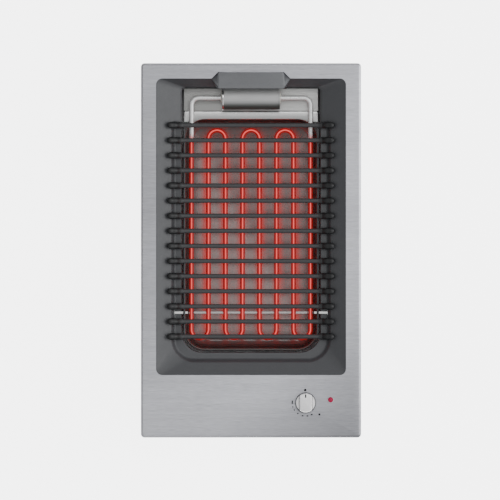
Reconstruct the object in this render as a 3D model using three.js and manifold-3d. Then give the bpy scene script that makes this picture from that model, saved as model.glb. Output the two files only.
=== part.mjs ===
// Built-in electric barbecue grill, a 300 mm wide drop-in worktop unit.
// Millimetres. +Z is up, +Y points to the back, +X to the right of somebody standing at the knob.
// The origin is on the underside of the casing, below the middle of the worktop plate.

import * as THREE from "three";
import { ConvexGeometry } from "three/addons/geometries/ConvexGeometry.js";
import { mergeVertices } from "three/addons/utils/BufferGeometryUtils.js";
import Module from "manifold-3d";

const wasm = await Module();
wasm.setup();

// Clearances and cutting
const SEAT = 0.3; // between two pieces that lie on each other
const OVERRUN = 2; // how far a cut runs past what it cuts
const WELD = 0.5; // how deep a welded stud, tab or lug enters what it is welded to
const ARC_STEPS = 5; // steps in a quarter turn of a large outline

// Worktop plate
const PLATE_WIDTH = 300;
const PLATE_LENGTH = 510;
const PLATE_CORNER = 5;
const PLATE_GAUGE = 1.2;
const RIM_HEIGHT = 5;
const RIM_BEVEL = 3;
const RIM_BEVEL_DROP = 1.6;
const SEAL_STAND = 0.5; // how far the seal stands below the rim
const SEAL_INSET = 4;
const SEAL_CLEAR = 5; // from the casing to the seal

// Heights of the stack, from the casing floor up
const CASING_GAUGE = 1;
const BAY_RISE = 14; // air space under the pan bay
const BAY_GAUGE = 0.8;
const BEAD_HEIGHT = 3; // raised beads that carry the pan
const PAN_DEPTH = 34;
const PIVOT_HEIGHT = 20; // heater pivot above the rear shelf
const LEDGE_OVER_HEATER = 10;
const WELL_DROP = 18; // plate top to ledge

// Well surround, the enamelled pressing between the plate and the pan
const WELL_SIDE_MARGIN = 21; // plate edge to well edge
const WELL_REAR_MARGIN = 21.2;
const WELL_FRONT_MARGIN = 85.5;
const WELL_CORNER = 8;
const SIDE_SLOPE_RUN = 34.6;
const REAR_SLOPE_RUN = 11.4;
const FRONT_SLOPE_RUN = 30.3;
const OPENING_FRONT_RADIUS = 28;
const OPENING_REAR_RADIUS = 5;
const GROOVE_SIDE = 11.4; // width of the ledge that runs round three sides
const GROOVE_FRONT = 10.5;
const GROOVE_RADIUS = 28;
const GROOVE_REAR_RADIUS = 2;
const GROOVE_REAR_SETBACK = 50.4; // rear edge of the opening to the rear end of the ledge
const SURROUND_GAUGE = 1;
const SURROUND_SKIRT = 10;
const SURROUND_FLANGE = 2.2;
const SURROUND_FRONT_FLANGE = 15;
const STUD_RADIUS = 2;
const STUD_LENGTH = 9;
const STUD_SIDE_INSET = 50; // plate edge to the studs
const STUD_FRONT_SETBACK = 7.5;
const STUD_REAR_SETBACK = 4.7;
const NUT_FLATS = 7;
const NUT_HEIGHT = 3.2;

// Hood that stands in a notch of the rear slope and covers the space behind the terminal housing
const HOOD_RISE = 4;
const HOOD_OVERLAP = 8.6; // how far it reaches behind the well edge
const HOOD_FRONT_SETBACK = 0.4;
const HOOD_TOP_REAR_HALF = 43.8;
const HOOD_TOP_FRONT_HALF = 45.7;
const HOOD_BASE_REAR_HALF = 44.6;
const HOOD_BASE_WIDE_HALF = 53.5;
const HOOD_BASE_FRONT_HALF = 48;
const HOOD_LEAN = 0.6;

// Casing, its tabs and its screws
const CASING_FRONT_INSET = 11; // plate edge to casing
const CASING_CORNER = 4;
const TAB_GAUGE = 1.2;
const TAB_LENGTH = 16;
const TAB_DROP = 14;
const TAB_SCREW_DROP = 8;
const TAB_FRONT_SETBACK = 19.2; // front edge of the opening to the front tabs
const TAB_REAR_SETBACK = 72.4;
const SCREW_RADIUS = 1.7;
const SCREW_HOLE_RADIUS = 2;
const SCREW_HEAD_RADIUS = 3.5;
const SCREW_HEAD_HEIGHT = 1.8;
const SCREW_LENGTH = 8;
const SCREW_SIDES = 8;
const VENT_COUNT = 7;
const VENT_PITCH = 14;
const VENT_WIDTH = 4;
const VENT_LENGTH = 34;
const VENT_FRONT_INSET = 22;

// Spring clips that hold the unit in the worktop
const CLIP_GAUGE = 0.8;
const CLIP_WIDTH = 20;
const CLIP_END_INSET = 69; // casing end to the middle of a clip
const CLIP_BASE_Z = 24;
const CLIP_BASE_HEIGHT = 22;
const CLIP_TONGUE_HEIGHT = 26;
const CLIP_REACH = 6;
const CLIP_LIP = 4;
const CLIP_SCREW_RISE = 9;

// Pan bay and what stands in it
const BAY_CLEAR = 1.6; // from the surround's skirt to the bay wall
const BAY_FLANGE = 8.6;
const BAY_TOP_DROP = 2.6; // ledge to the bay flange that carries the support bar
const BAY_REAR_RADIUS = 6;
const BEAD_WIDTH = 7;
const BEAD_SIDE_INSET = 44; // pan side to bead
const BEAD_END_INSET = 40;
const RAIL_WIDTH = 18;
const RAIL_GAUGE = 1.2;
const RAIL_SIDE_INSET = 35; // bay wall to rail
const RAIL_END_INSET = 30;
const SHIELD_GAUGE = 0.8;
const SHIELD_SETBACK = 15; // in front of the bay
const SHIELD_SIDE_INSET = 12;
const SHIELD_TOP_DROP = 4;
const SHIELD_FOOT = 10;
const SHIELD_NOTCH_WIDTH = 12;
const SHIELD_NOTCH_HEIGHT = 12;

// Rear shelf
const SHELF_GAUGE = 1.2;
const SHELF_SEAM = 0.6; // gap to the pan flange
const SHELF_DEPTH = 30.4;
const SHELF_SIDE_GAP = 3; // opening edge to shelf end
const WIRE_SLOT_LENGTH = 14;
const WIRE_SLOT_WIDTH = 8;

// Drip pan
const PAN_GAP = 2.4; // opening edge to the pan rim
const PAN_GAUGE = 0.8;
const PAN_REAR_SETBACK = 32.2; // rear edge of the opening to the rear edge of the pan
const PAN_REAR_FLANGE = 10.2;
const PAN_SIDE_FLANGE = 1.8;
const PAN_BASIN_RADIUS = 27;
const PAN_REAR_RIM_RADIUS = 3;
const PAN_LIP = 4;
const PAN_WALL_DRAFT = 3;
const PAN_FLOOR_FILLET = 10;
const PAN_FILLET_STEPS = 4;

// Heating element
const HEATER_RADIUS = 3.25;
const HEATER_SIDES = 8;
const HEATER_LEGS = 8;
const HEATER_EDGE_GAP = 13.2; // opening edge to the centre of the outer leg
const HEATER_PIVOT_SETBACK = 14.2; // rear edge of the opening to the pivot
const HEATER_REAR_SETBACK = 44.1; // pivot to the apex of the rear bends
const HEATER_FRONT_GAP = 19.7; // front edge of the opening to the apex of the front bends
const COLD_BEND_RADIUS = 9.75;
const COLD_END_X = 24; // inner ends of the two cold ends
const BEND_STEPS = 6;
const TURN_STEPS = 8;
const INSULATOR_RADIUS = 4.2;
const INSULATOR_LENGTH = 6;
const PIN_RADIUS = 1.25;
const PIN_LENGTH = 21;

// Support bar under the heater
const BAR_WIDTH = 3;
const BAR_GAUGE = 1.6;
const BAR_DROP = 0.7; // ledge to the top of the bar's tips
const BAR_TIP_GAP = 1.3; // edge of the ledge to the bar's tip
const BAR_CRANK_GAP = 1.5; // outer leg to the crank of the bar
const BAR_SETBACK = 54.4; // front edge of the opening to the bar
const BAR_CLIP_GAUGE = 0.8;
const BAR_CLIP_OPEN = 50; // degrees above the horizontal where the clip's jaws end
const NOTCH_CLEAR = 0.5;
const NOTCH_END_WIDTH = 6.6;
const NOTCH_END_LENGTH = 1.8;

// Terminal housing
const HOUSING_RADIUS = 15.8;
const HOUSING_HALF = 39.3;
const HOUSING_GAUGE = 1;
const HOUSING_SIDES = 24;
const CAP_FLANGE = 2;
const CAP_FLANGE_OVER = 0.6;
const CAP_RIM = 7;
const CAP_RING_STEP = 0.5;
const CAP_SPIGOT = 4;
const CAP_WEB = 2;
const CHEEK_GAUGE = 1.3;
const CHEEK_FOOT = 10; // height of the part that stands on the shelf
const BUSH_RADIUS = 6;
const BUSH_FLANGE_RADIUS = 7.6;
const BUSH_FLANGE = 1.2;
const BUSH_CLEAR = 0.35;
const SADDLE_HALF_WIDTH = 12;
const SADDLE_LENGTH = 46;
const SADDLE_ARC_STEPS = 10;

// Cooking grate
const ROD_COUNT = 15;
const ROD_RADIUS = 3;
const ROD_END_RADIUS = 4.4;
const ROD_SIDES = 8;
const ROD_LIFT = 2; // ledge to the underside of the rods
const ROD_OVERREACH = 8; // how far the ends pass the ledge
const ROD_REAR_SETBACK = 51.8;
const ROD_FRONT_SETBACK = 21.8;
const ROD_BEND_SHARES = [0, 0.5, 1];
const ROD_TIP_SHARES = [[0.6, 0.85], [1, 0.35]];
const ROD_FLAT_INSET = 8.8; // ledge edge to where a rod starts to rise
const TIE_RADIUS = 1.5;
const TIE_SIDES = 8;
const TIE_GAP = 1.9; // opening edge to the side of a tie
const TIE_WELD = 0.7;

// Control knob, regulator and lamp
const KNOB_SIDE_INSET = 75.7; // plate edge to the knob's axis
const KNOB_FRONT_INSET = 47.6; // plate edge to the knob's axis
const KNOB_RADIUS = 14.1;
const KNOB_BASE_HEIGHT = 7;
const KNOB_HEIGHT = 19;
const KNOB_GRIP_WIDTH = 17.3;
const KNOB_GRIP_TOP_WIDTH = 13.4;
const KNOB_EDGE = 1.2;
const KNOB_STAND = 1; // above the plate
const KNOB_WALL = 2;
const KNOB_CAVITY_DEPTH = 2;
const KNOB_HUB_RADIUS = 5.5;
const KNOB_SIDES = 32;
const SHAFT_RADIUS = 3;
const SHAFT_FLAT = 1.2;
const SHAFT_CLEAR = 0.3;
const SHAFT_IN_KNOB = 12;
const SHAFT_TAIL = 4; // below the regulator's web, inside its bush
const SEAL_RING_RADIUS = 6.5;
const SEAL_RING_WALL = 1.6;
const BRACKET_DROP = 13;
const BRACKET_GAUGE = 1.2;
const BRACKET_HALF_WIDTH = 22;
const BRACKET_FOOT = 7;
const BRACKET_LENGTH = 26;
const REGULATOR_WIDTH = 38;
const REGULATOR_LENGTH = 36;
const REGULATOR_HEIGHT = 27;
const REGULATOR_CORNER = 4;
const REGULATOR_BUSH_RADIUS = 5;
const REGULATOR_BUSH_HEIGHT = 8;
const REGULATOR_NUT_FLATS = 14;
const REGULATOR_NUT_HEIGHT = 2.4;
const BLADE_WIDTH = 6.3;
const BLADE_GAUGE = 0.8;
const BLADE_LENGTH = 9;
const BLADE_SPREAD = 9;
const LAMP_SIDE_INSET = 41.7;
const LAMP_FRONT_INSET = 51.6;
const LAMP_LENS_RADIUS = 3.4;
const LAMP_BODY_RADIUS = 3.9;
const LAMP_FLANGE_RADIUS = 4.7;
const LAMP_FLANGE = 0.8;
const LAMP_DOME = 1.5;
const LAMP_LENGTH = 20;
const LAMP_SIDES = 18;

// Electrical pieces in the space under the controls
const CUTOUT_SIDE_INSET = 57; // bay wall to cut-out
const CUTOUT_RADIUS = 8;
const CUTOUT_DEPTH = 7;
const CUTOUT_FLANGE_HALF = 12;
const CUTOUT_FLANGE_GAUGE = 1;
const CUTOUT_RISE = 30; // above the bay floor
const BLOCK_INLET_GAP = 16; // inner end of the cable inlet to the terminal block
const BLOCK_FRONT_INSET = 34;
const BLOCK_WIDTH = 52;
const BLOCK_LENGTH = 22;
const BLOCK_BASE = 4;
const BLOCK_HEIGHT = 17;
const BLOCK_POLES = 3;
const BLOCK_POLE_GAP = 3;
const BLOCK_SCREW_RADIUS = 2.5;
const BLOCK_SCREW_DEPTH = 5;
const INLET_Z = 24;
const INLET_RADIUS = 8;
const INLET_BORE = 4.5;
const INLET_FLANGE_RADIUS = 11;
const INLET_FLANGE = 1.6;
const INLET_INSIDE = 14;
const INLET_NUT_FLATS = 22;
const INLET_NUT_HEIGHT = 5;
const LEAD_RADIUS = 2.4;
const LEAD_STAND = 2.2; // above the casing floor
const LEAD_SIDES = 6;
const LEAD_HOLE_RADIUS = 4;
const LEAD_STEP_DIAMETERS = 2.6;
const LEAD_BEND = 8; // rise or run in which a lead turns
const LEAD_SWEEP = 28; // run in which it settles into a straight line

// Places that follow from the sizes above
const plateHalfWidth = PLATE_WIDTH / 2;
const plateHalfLength = PLATE_LENGTH / 2;
const wellHalfWidth = plateHalfWidth - WELL_SIDE_MARGIN;
const wellRearY = plateHalfLength - WELL_REAR_MARGIN;
const wellFrontY = WELL_FRONT_MARGIN - plateHalfLength;
const openingHalf = wellHalfWidth - SIDE_SLOPE_RUN;
const openingRearY = wellRearY - REAR_SLOPE_RUN;
const openingFrontY = wellFrontY + FRONT_SLOPE_RUN;
const grooveHalf = openingHalf + GROOVE_SIDE;
const grooveFrontY = openingFrontY - GROOVE_FRONT;
const grooveRearY = openingRearY - GROOVE_REAR_SETBACK;
const bayFloorZ = CASING_GAUGE + BAY_RISE;
const bayFloorTopZ = bayFloorZ + BAY_GAUGE;
const panUnderZ = bayFloorTopZ + BEAD_HEIGHT + SEAT;
const panRimZ = panUnderZ + PAN_DEPTH;
const shelfZ = panRimZ;
const pivotZ = shelfZ + PIVOT_HEIGHT;
const ledgeZ = pivotZ + LEDGE_OVER_HEATER;
const plateTopZ = ledgeZ + WELL_DROP;
const plateUnderZ = plateTopZ - PLATE_GAUGE;
const flangeTopZ = plateUnderZ - SEAT;
const worktopZ = plateTopZ - RIM_HEIGHT - SEAL_STAND;
const hoodRearY = wellRearY + HOOD_OVERLAP;
const hoodFrontY = openingRearY + HOOD_FRONT_SETBACK;
const flangeHalf = wellHalfWidth + SURROUND_FLANGE;
const flangeRearY = hoodRearY + HOOD_LEAN;
const flangeFrontY = wellFrontY - SURROUND_FRONT_FLANGE;
const tabInnerX = flangeHalf + SEAT;
const casingInnerX = tabInnerX + TAB_GAUGE + SEAT;
const casingHalfWidth = casingInnerX + CASING_GAUGE;
const casingInnerRearY = flangeRearY + SEAT;
const casingRearY = casingInnerRearY + CASING_GAUGE;
const casingFrontY = CASING_FRONT_INSET - plateHalfLength;
const casingInnerFrontY = casingFrontY + CASING_GAUGE;
const skirtHalf = openingHalf + SURROUND_GAUGE;
const bayHalf = skirtHalf + BAY_CLEAR;
const bayFrontY = openingFrontY - SURROUND_GAUGE - BAY_CLEAR;
const bayRearY = openingRearY + SURROUND_GAUGE + BAY_CLEAR;
const bayTopZ = ledgeZ - BAY_TOP_DROP;
const pivotY = openingRearY - HEATER_PIVOT_SETBACK;
const legPitch = 2 * (openingHalf - HEATER_EDGE_GAP) / (HEATER_LEGS - 1);
const outerLegX = openingHalf - HEATER_EDGE_GAP;
const studX = plateHalfWidth - STUD_SIDE_INSET;
const railX = bayHalf - RAIL_SIDE_INSET;
const cutoutX = CUTOUT_SIDE_INSET - bayHalf;
const knobX = plateHalfWidth - KNOB_SIDE_INSET;
const lampX = plateHalfWidth - LAMP_SIDE_INSET;
const blockX = INLET_INSIDE + BLOCK_INLET_GAP + BLOCK_WIDTH / 2 - casingHalfWidth;
const panRearY = openingRearY - PAN_REAR_SETBACK;
const panHalf = openingHalf - PAN_GAP;
const panFrontY = openingFrontY + PAN_GAP;
const shelfFrontY = panRearY + SHELF_SEAM;
const shelfHalf = openingHalf - SHELF_SIDE_GAP;
const barY = openingFrontY + BAR_SETBACK;
const barTipTopZ = ledgeZ - BAR_DROP;
const barTipX = grooveHalf - BAR_TIP_GAP;
const barCrankX = outerLegX + HEATER_RADIUS + BAR_CRANK_GAP;
const knobY = KNOB_FRONT_INSET - plateHalfLength;
const lampY = LAMP_FRONT_INSET - plateHalfLength;
const bracketWebZ = flangeTopZ - BRACKET_DROP;
const regulatorTopZ = bracketWebZ - BRACKET_GAUGE - SEAT;
const slopePerMm = (flangeTopZ - ledgeZ) / SIDE_SLOPE_RUN;
const rodZ = ledgeZ + ROD_LIFT + ROD_RADIUS;

// Materials
function metal(color, roughness) {
  return new THREE.MeshStandardMaterial({ color, roughness, metalness: 1, flatShading: true });
}

function dull(color, roughness) {
  return new THREE.MeshStandardMaterial({ color, roughness, metalness: 0, flatShading: true });
}

const brushedSteel = metal(0xb4b5ba, 0.38);
const polishedSteel = metal(0xdcdedd, 0.2);
const satinSteel = metal(0xa5a5a3, 0.35);
const darkEnamel = dull(0x55575b, 0.42);
const grateEnamel = dull(0x3a3b3d, 0.4);
const zincSheet = metal(0x9fa3a8, 0.5);
const aluminisedSheet = metal(0x8d8f92, 0.5);
const glowingSheath = dull(0xd8362c, 0.45);
const springSteel = metal(0x7f8388, 0.4);
const zincScrew = metal(0xc0c3c7, 0.35);
const satinKnob = metal(0xcfcbcc, 0.32);
const ceramic = dull(0xe6e1d6, 0.6);
const bakelite = dull(0x2a2522, 0.5);
const whiteNylon = dull(0xe2e0d8, 0.5);
const blackNylon = dull(0x1e1f21, 0.55);
const greyFoam = dull(0x55575a, 0.9);
const blackRubber = dull(0x1a1a1b, 0.85);
const redLens = dull(0xc42032, 0.2);
const siliconeSleeve = dull(0x8c3a2c, 0.7);

// Solids and geometries
function solidOf(geometry) {
  const bare = new THREE.BufferGeometry();
  bare.setAttribute("position", geometry.getAttribute("position"));
  if (geometry.index) bare.setIndex(geometry.index);
  const merged = mergeVertices(bare, 1e-4);
  return new wasm.Manifold(new wasm.Mesh({
    numProp: 3,
    vertProperties: new Float32Array(merged.getAttribute("position").array),
    triVerts: new Uint32Array(merged.index.array),
  }));
}

function geometryOf(solid) {
  const mesh = solid.getMesh();
  const geometry = new THREE.BufferGeometry();
  geometry.setAttribute("position", new THREE.BufferAttribute(new Float32Array(mesh.vertProperties), 3));
  geometry.setIndex(new THREE.BufferAttribute(new Uint32Array(mesh.triVerts), 1));
  geometry.computeVertexNormals();
  return geometry;
}

function join(...solids) {
  return solids.reduce((whole, solid) => whole.add(solid));
}

function cut(whole, ...tools) {
  return tools.reduce((rest, tool) => rest.subtract(tool), whole);
}

// An outline with one radius on its two front corners and one on its two rear corners.
// It starts on the right and runs counter-clockwise, always with the same number of points.
function outline(halfWidth, frontY, rearY, frontRadius, rearRadius = frontRadius) {
  const corners = [
    [halfWidth - rearRadius, rearY - rearRadius, rearRadius, 0],
    [rearRadius - halfWidth, rearY - rearRadius, rearRadius, 1],
    [frontRadius - halfWidth, frontY + frontRadius, frontRadius, 2],
    [halfWidth - frontRadius, frontY + frontRadius, frontRadius, 3],
  ];
  return corners.flatMap(([x, y, radius, quarter]) => Array.from({ length: ARC_STEPS + 1 }, (_, step) => {
    const angle = (quarter + step / ARC_STEPS) * Math.PI / 2;
    return [x + radius * Math.cos(angle), y + radius * Math.sin(angle)];
  }));
}

// A closed solid through outlines of equal length, listed from the bottom up.
function loft(sections) {
  const count = sections[0].points.length;
  const positions = sections.flatMap(({ points, z }) => points.flatMap(([x, y]) => [x, y, z]));
  const index = [];
  for (let level = 0; level + 1 < sections.length; level += 1) {
    for (let side = 0; side < count; side += 1) {
      const a = level * count + side;
      const b = level * count + (side + 1) % count;
      index.push(a, b, b + count, a, b + count, a + count);
    }
  }
  const caps = [[sections[0], 0, true], [sections.at(-1), (sections.length - 1) * count, false]];
  for (const [section, first, faceDown] of caps) {
    const contour = section.points.map(([x, y]) => new THREE.Vector2(x, y));
    for (const [a, b, c] of THREE.ShapeUtils.triangulateShape(contour, [])) {
      index.push(...(faceDown ? [first + a, first + c, first + b] : [first + a, first + b, first + c]));
    }
  }
  const geometry = new THREE.BufferGeometry();
  geometry.setAttribute("position", new THREE.Float32BufferAttribute(positions, 3));
  geometry.setIndex(index);
  return geometry;
}

function prism(points, bottom, top) {
  return loft([{ points, z: bottom }, { points, z: top }]);
}

function box(x0, x1, y0, y1, z0, z1) {
  const geometry = new THREE.BoxGeometry(x1 - x0, y1 - y0, z1 - z0);
  return geometry.translate((x0 + x1) / 2, (y0 + y1) / 2, (z0 + z1) / 2);
}

// A profile of [across, up] points, extruded along one axis and centred on a place along it.
function extruded(points, length) {
  const shape = new THREE.Shape(points.map(([u, v]) => new THREE.Vector2(u, v)));
  return new THREE.ExtrudeGeometry(shape, { depth: length, bevelEnabled: false }).translate(0, 0,
    -length / 2);
}

function extrudedAlongX(points, length) {
  return extruded(points, length).rotateX(Math.PI / 2).rotateZ(Math.PI / 2);
}

function extrudedAlongY(points, length) {
  return extruded(points, length).rotateX(Math.PI / 2);
}

// A turned piece about the Z axis from [radius, height] points.
function turned(points, sides) {
  return new THREE.LatheGeometry(points.map(([radius, height]) => new THREE.Vector2(radius, height)), sides)
    .rotateX(Math.PI / 2);
}

// The same about the X axis, with the heights running to +X, or to -X when side is -1.
function turnedAlongX(points, sides, side = 1) {
  return turned(points, sides).rotateY(side * Math.PI / 2);
}

function cylinder(radius, bottom, top, sides = 24) {
  return new THREE.CylinderGeometry(radius, radius, top - bottom, sides)
    .rotateX(Math.PI / 2).translate(0, 0, (bottom + top) / 2);
}

function hexNut(flats, height, bore) {
  const body = solidOf(new THREE.CylinderGeometry(flats / Math.sqrt(3), flats / Math.sqrt(3), height, 6)
    .rotateX(Math.PI / 2));
  return geometryOf(cut(body, solidOf(cylinder(bore, -height, height, 16))));
}

function panHeadScrew(length) {
  const profile = [
    [0, -length], [SCREW_RADIUS, -length], [SCREW_RADIUS, 0], [SCREW_HEAD_RADIUS, 0],
    [SCREW_HEAD_RADIUS, SCREW_HEAD_HEIGHT / 2], [SCREW_HEAD_RADIUS / 2, SCREW_HEAD_HEIGHT],
      [0, SCREW_HEAD_HEIGHT],
  ];
  return turned(profile, SCREW_SIDES);
}

// A round bar whose stations lie in one plane. Each station has a centre and a radius.
// The normal is square to that plane.
function sweptBar(stations, normal, sides) {
  const positions = [];
  const index = [];
  stations.forEach(({ centre, radius }, at) => {
    const before = stations[Math.max(at - 1, 0)].centre;
    const after = stations[Math.min(at + 1, stations.length - 1)].centre;
    const incoming = centre.clone().sub(before).normalize();
    const outgoing = after.clone().sub(centre).normalize();
    const tangent = incoming.add(outgoing).normalize();
    const across = new THREE.Vector3().crossVectors(normal, tangent).normalize();
    for (let side = 0; side < sides; side += 1) {
      const angle = (side + 1 / 2) * 2 * Math.PI / sides;
      const point = centre.clone().addScaledVector(across, radius * Math.cos(angle))
        .addScaledVector(normal, radius * Math.sin(angle));
      positions.push(point.x, point.y, point.z);
    }
    if (at === 0) return;
    for (let side = 0; side < sides; side += 1) {
      const a = (at - 1) * sides + side;
      const b = (at - 1) * sides + (side + 1) % sides;
      index.push(a, a + sides, b + sides, a, b + sides, b);
    }
  });
  const last = (stations.length - 1) * sides;
  for (let side = 1; side + 1 < sides; side += 1) {
    index.push(0, side, side + 1);
    index.push(last, last + side + 1, last + side);
  }
  const geometry = new THREE.BufferGeometry();
  geometry.setAttribute("position", new THREE.Float32BufferAttribute(positions, 3));
  geometry.setIndex(index);
  return solidOf(geometry).volume() > 0 ? geometry : flipped(geometry);
}

function flipped(geometry) {
  const index = geometry.index.array;
  for (let at = 0; at < index.length; at += 3) [index[at + 1], index[at + 2]] = [index[at + 2],
    index[at + 1]];
  return geometry;
}

// A soft lead along hand-placed points, round in section.
function lead(points) {
  const path = new THREE.CatmullRomCurve3(points.map(([x, y, z]) => new THREE.Vector3(x, y, z)), false,
    "centripetal");
  const section = new THREE.Shape(Array.from({ length: LEAD_SIDES }, (_, side) => {
    const angle = side * 2 * Math.PI / LEAD_SIDES;
    return new THREE.Vector2(LEAD_RADIUS * Math.cos(angle), LEAD_RADIUS * Math.sin(angle));
  }));
  const steps = Math.ceil(path.getLength() / (2 * LEAD_RADIUS * LEAD_STEP_DIAMETERS));
  return new THREE.ExtrudeGeometry(section, { steps, extrudePath: path, bevelEnabled: false });
}

// Worktop plate with its turned rim, the well opening, welded studs and casing tabs
function plateOutline(inset) {
  return outline(plateHalfWidth - inset, inset - plateHalfLength, plateHalfLength - inset,
    Math.max(PLATE_CORNER - inset, PLATE_GAUGE));
}

function hoodBumpOutline(gap) {
  return [
    [HOOD_BASE_WIDE_HALF + gap, wellRearY - OVERRUN], [HOOD_BASE_WIDE_HALF + gap, wellRearY],
    [HOOD_BASE_REAR_HALF + gap, flangeRearY - HOOD_LEAN + gap],
    [-HOOD_BASE_REAR_HALF - gap, flangeRearY - HOOD_LEAN + gap],
    [-HOOD_BASE_WIDE_HALF - gap, wellRearY], [-HOOD_BASE_WIDE_HALF - gap, wellRearY - OVERRUN],
  ];
}

const studPlaces = [
  [-studX, wellFrontY - STUD_FRONT_SETBACK], [studX, wellFrontY - STUD_FRONT_SETBACK],
  [-studX, wellRearY + STUD_REAR_SETBACK], [studX, wellRearY + STUD_REAR_SETBACK],
];

const tabPlaces = [
  [-1, openingFrontY + TAB_FRONT_SETBACK], [1, openingFrontY + TAB_FRONT_SETBACK],
  [-1, openingRearY - TAB_REAR_SETBACK], [1, openingRearY - TAB_REAR_SETBACK],
];

function worktopPlate() {
  const shell = solidOf(loft([
    { points: plateOutline(0), z: plateTopZ - RIM_HEIGHT },
    { points: plateOutline(0), z: plateTopZ - RIM_BEVEL_DROP },
    { points: plateOutline(RIM_BEVEL), z: plateTopZ },
  ]));
  const hollow = solidOf(loft([
    { points: plateOutline(PLATE_GAUGE), z: plateTopZ - RIM_HEIGHT - OVERRUN },
    { points: plateOutline(PLATE_GAUGE), z: plateUnderZ - RIM_BEVEL_DROP },
    { points: plateOutline(RIM_BEVEL + PLATE_GAUGE / 2), z: plateUnderZ },
  ]));
  const well = solidOf(prism(outline(wellHalfWidth + SEAT, wellFrontY - SEAT, wellRearY + SEAT,
    WELL_CORNER + SEAT),
    plateUnderZ - OVERRUN, plateTopZ + OVERRUN));
  const bump = solidOf(prism(hoodBumpOutline(SEAT), plateUnderZ - OVERRUN, plateTopZ + OVERRUN));
  const shaftHole = solidOf(cylinder(SHAFT_RADIUS + 2 * SHAFT_CLEAR, plateUnderZ - OVERRUN,
    plateTopZ + OVERRUN)
    .translate(knobX, knobY, 0));
  const lampHole = solidOf(cylinder(LAMP_BODY_RADIUS + SEAT, plateUnderZ - OVERRUN, plateTopZ + OVERRUN)
    .translate(lampX, lampY, 0));
  const studs = studPlaces.map(([x, y]) => solidOf(
    cylinder(STUD_RADIUS, plateUnderZ - STUD_LENGTH, plateUnderZ + WELD, SCREW_SIDES).translate(x, y, 0)));
  const tabs = tabPlaces.map(([side, y]) => {
    const tab = solidOf(box(Math.min(side * tabInnerX, side * (tabInnerX + TAB_GAUGE)),
      Math.max(side * tabInnerX, side * (tabInnerX + TAB_GAUGE)),
      y - TAB_LENGTH / 2, y + TAB_LENGTH / 2, plateUnderZ - TAB_DROP, plateUnderZ + WELD));
    const hole = solidOf(cylinder(SCREW_HOLE_RADIUS, -OVERRUN, TAB_GAUGE + OVERRUN,
      SCREW_SIDES).rotateY(Math.PI / 2)
      .translate(side > 0 ? tabInnerX : -tabInnerX - TAB_GAUGE, y, plateUnderZ - TAB_SCREW_DROP));
    return cut(tab, hole);
  });
  return geometryOf(join(cut(shell, hollow, well, bump, shaftHole, lampHole), ...studs, ...tabs));
}

function rimSeal() {
  const top = plateUnderZ - SEAT;
  const ring = solidOf(prism(plateOutline(SEAL_INSET), worktopZ, top));
  const inner = outline(casingHalfWidth + SEAL_CLEAR, casingFrontY - SEAL_CLEAR / 2,
    casingRearY + SEAL_CLEAR / 2,
    CASING_CORNER);
  return geometryOf(cut(ring, solidOf(prism(inner, worktopZ - OVERRUN, top + OVERRUN))));
}

// Well surround: a pressed sheet, made as the space outside it less the space inside it
function openingOutline(grow) {
  return outline(openingHalf + grow, openingFrontY - grow, openingRearY + grow,
    OPENING_FRONT_RADIUS + grow, OPENING_REAR_RADIUS + grow);
}

function grooveOutline(grow) {
  return outline(grooveHalf + grow, grooveFrontY - grow, grooveRearY + grow,
    GROOVE_RADIUS + grow, GROOVE_REAR_RADIUS + grow);
}

function wellOutline(grow) {
  return outline(wellHalfWidth + grow, wellFrontY - grow, wellRearY + grow, WELL_CORNER + grow);
}

function hoodSolid(shrink) {
  const topZ = plateTopZ + HOOD_RISE - shrink;
  const lowZ = shrink > 0 ? ledgeZ - SURROUND_SKIRT - OVERRUN : ledgeZ - SURROUND_GAUGE;
  const baseZ = shrink > 0 ? lowZ : flangeTopZ - SURROUND_GAUGE;
  const frontY = shrink > 0 ? openingRearY - OVERRUN : hoodFrontY;
  const mirrored = [
    [HOOD_TOP_REAR_HALF - shrink, hoodRearY - shrink, topZ],
    [HOOD_TOP_FRONT_HALF - shrink, frontY, topZ],
    [HOOD_BASE_REAR_HALF - shrink, flangeRearY - HOOD_LEAN - shrink, baseZ],
    [HOOD_BASE_WIDE_HALF - shrink, wellRearY - shrink, flangeTopZ - shrink],
    [HOOD_BASE_FRONT_HALF - shrink, frontY, lowZ],
  ];
  const points = mirrored.flatMap(([x, y, z]) => [new THREE.Vector3(x, y, z), new THREE.Vector3(-x, y, z)]);
  return solidOf(new ConvexGeometry(points));
}

function barNotches() {
  const narrow = BAR_WIDTH / 2 + NOTCH_CLEAR;
  const wide = NOTCH_END_WIDTH / 2;
  const endX = barTipX + NOTCH_CLEAR;
  return [-1, 1].flatMap((side) => {
    const run = [side * (openingHalf - OVERRUN), side * endX].sort((a, b) => a - b);
    const end = [side * (endX - NOTCH_END_LENGTH), side * endX].sort((a, b) => a - b);
    return [
      solidOf(box(...run, barY - narrow, barY + narrow, bayTopZ - SEAT, ledgeZ + SEAT)),
      solidOf(box(...end, barY - wide, barY + wide, bayTopZ - SEAT, ledgeZ + SEAT)),
    ];
  });
}

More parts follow.
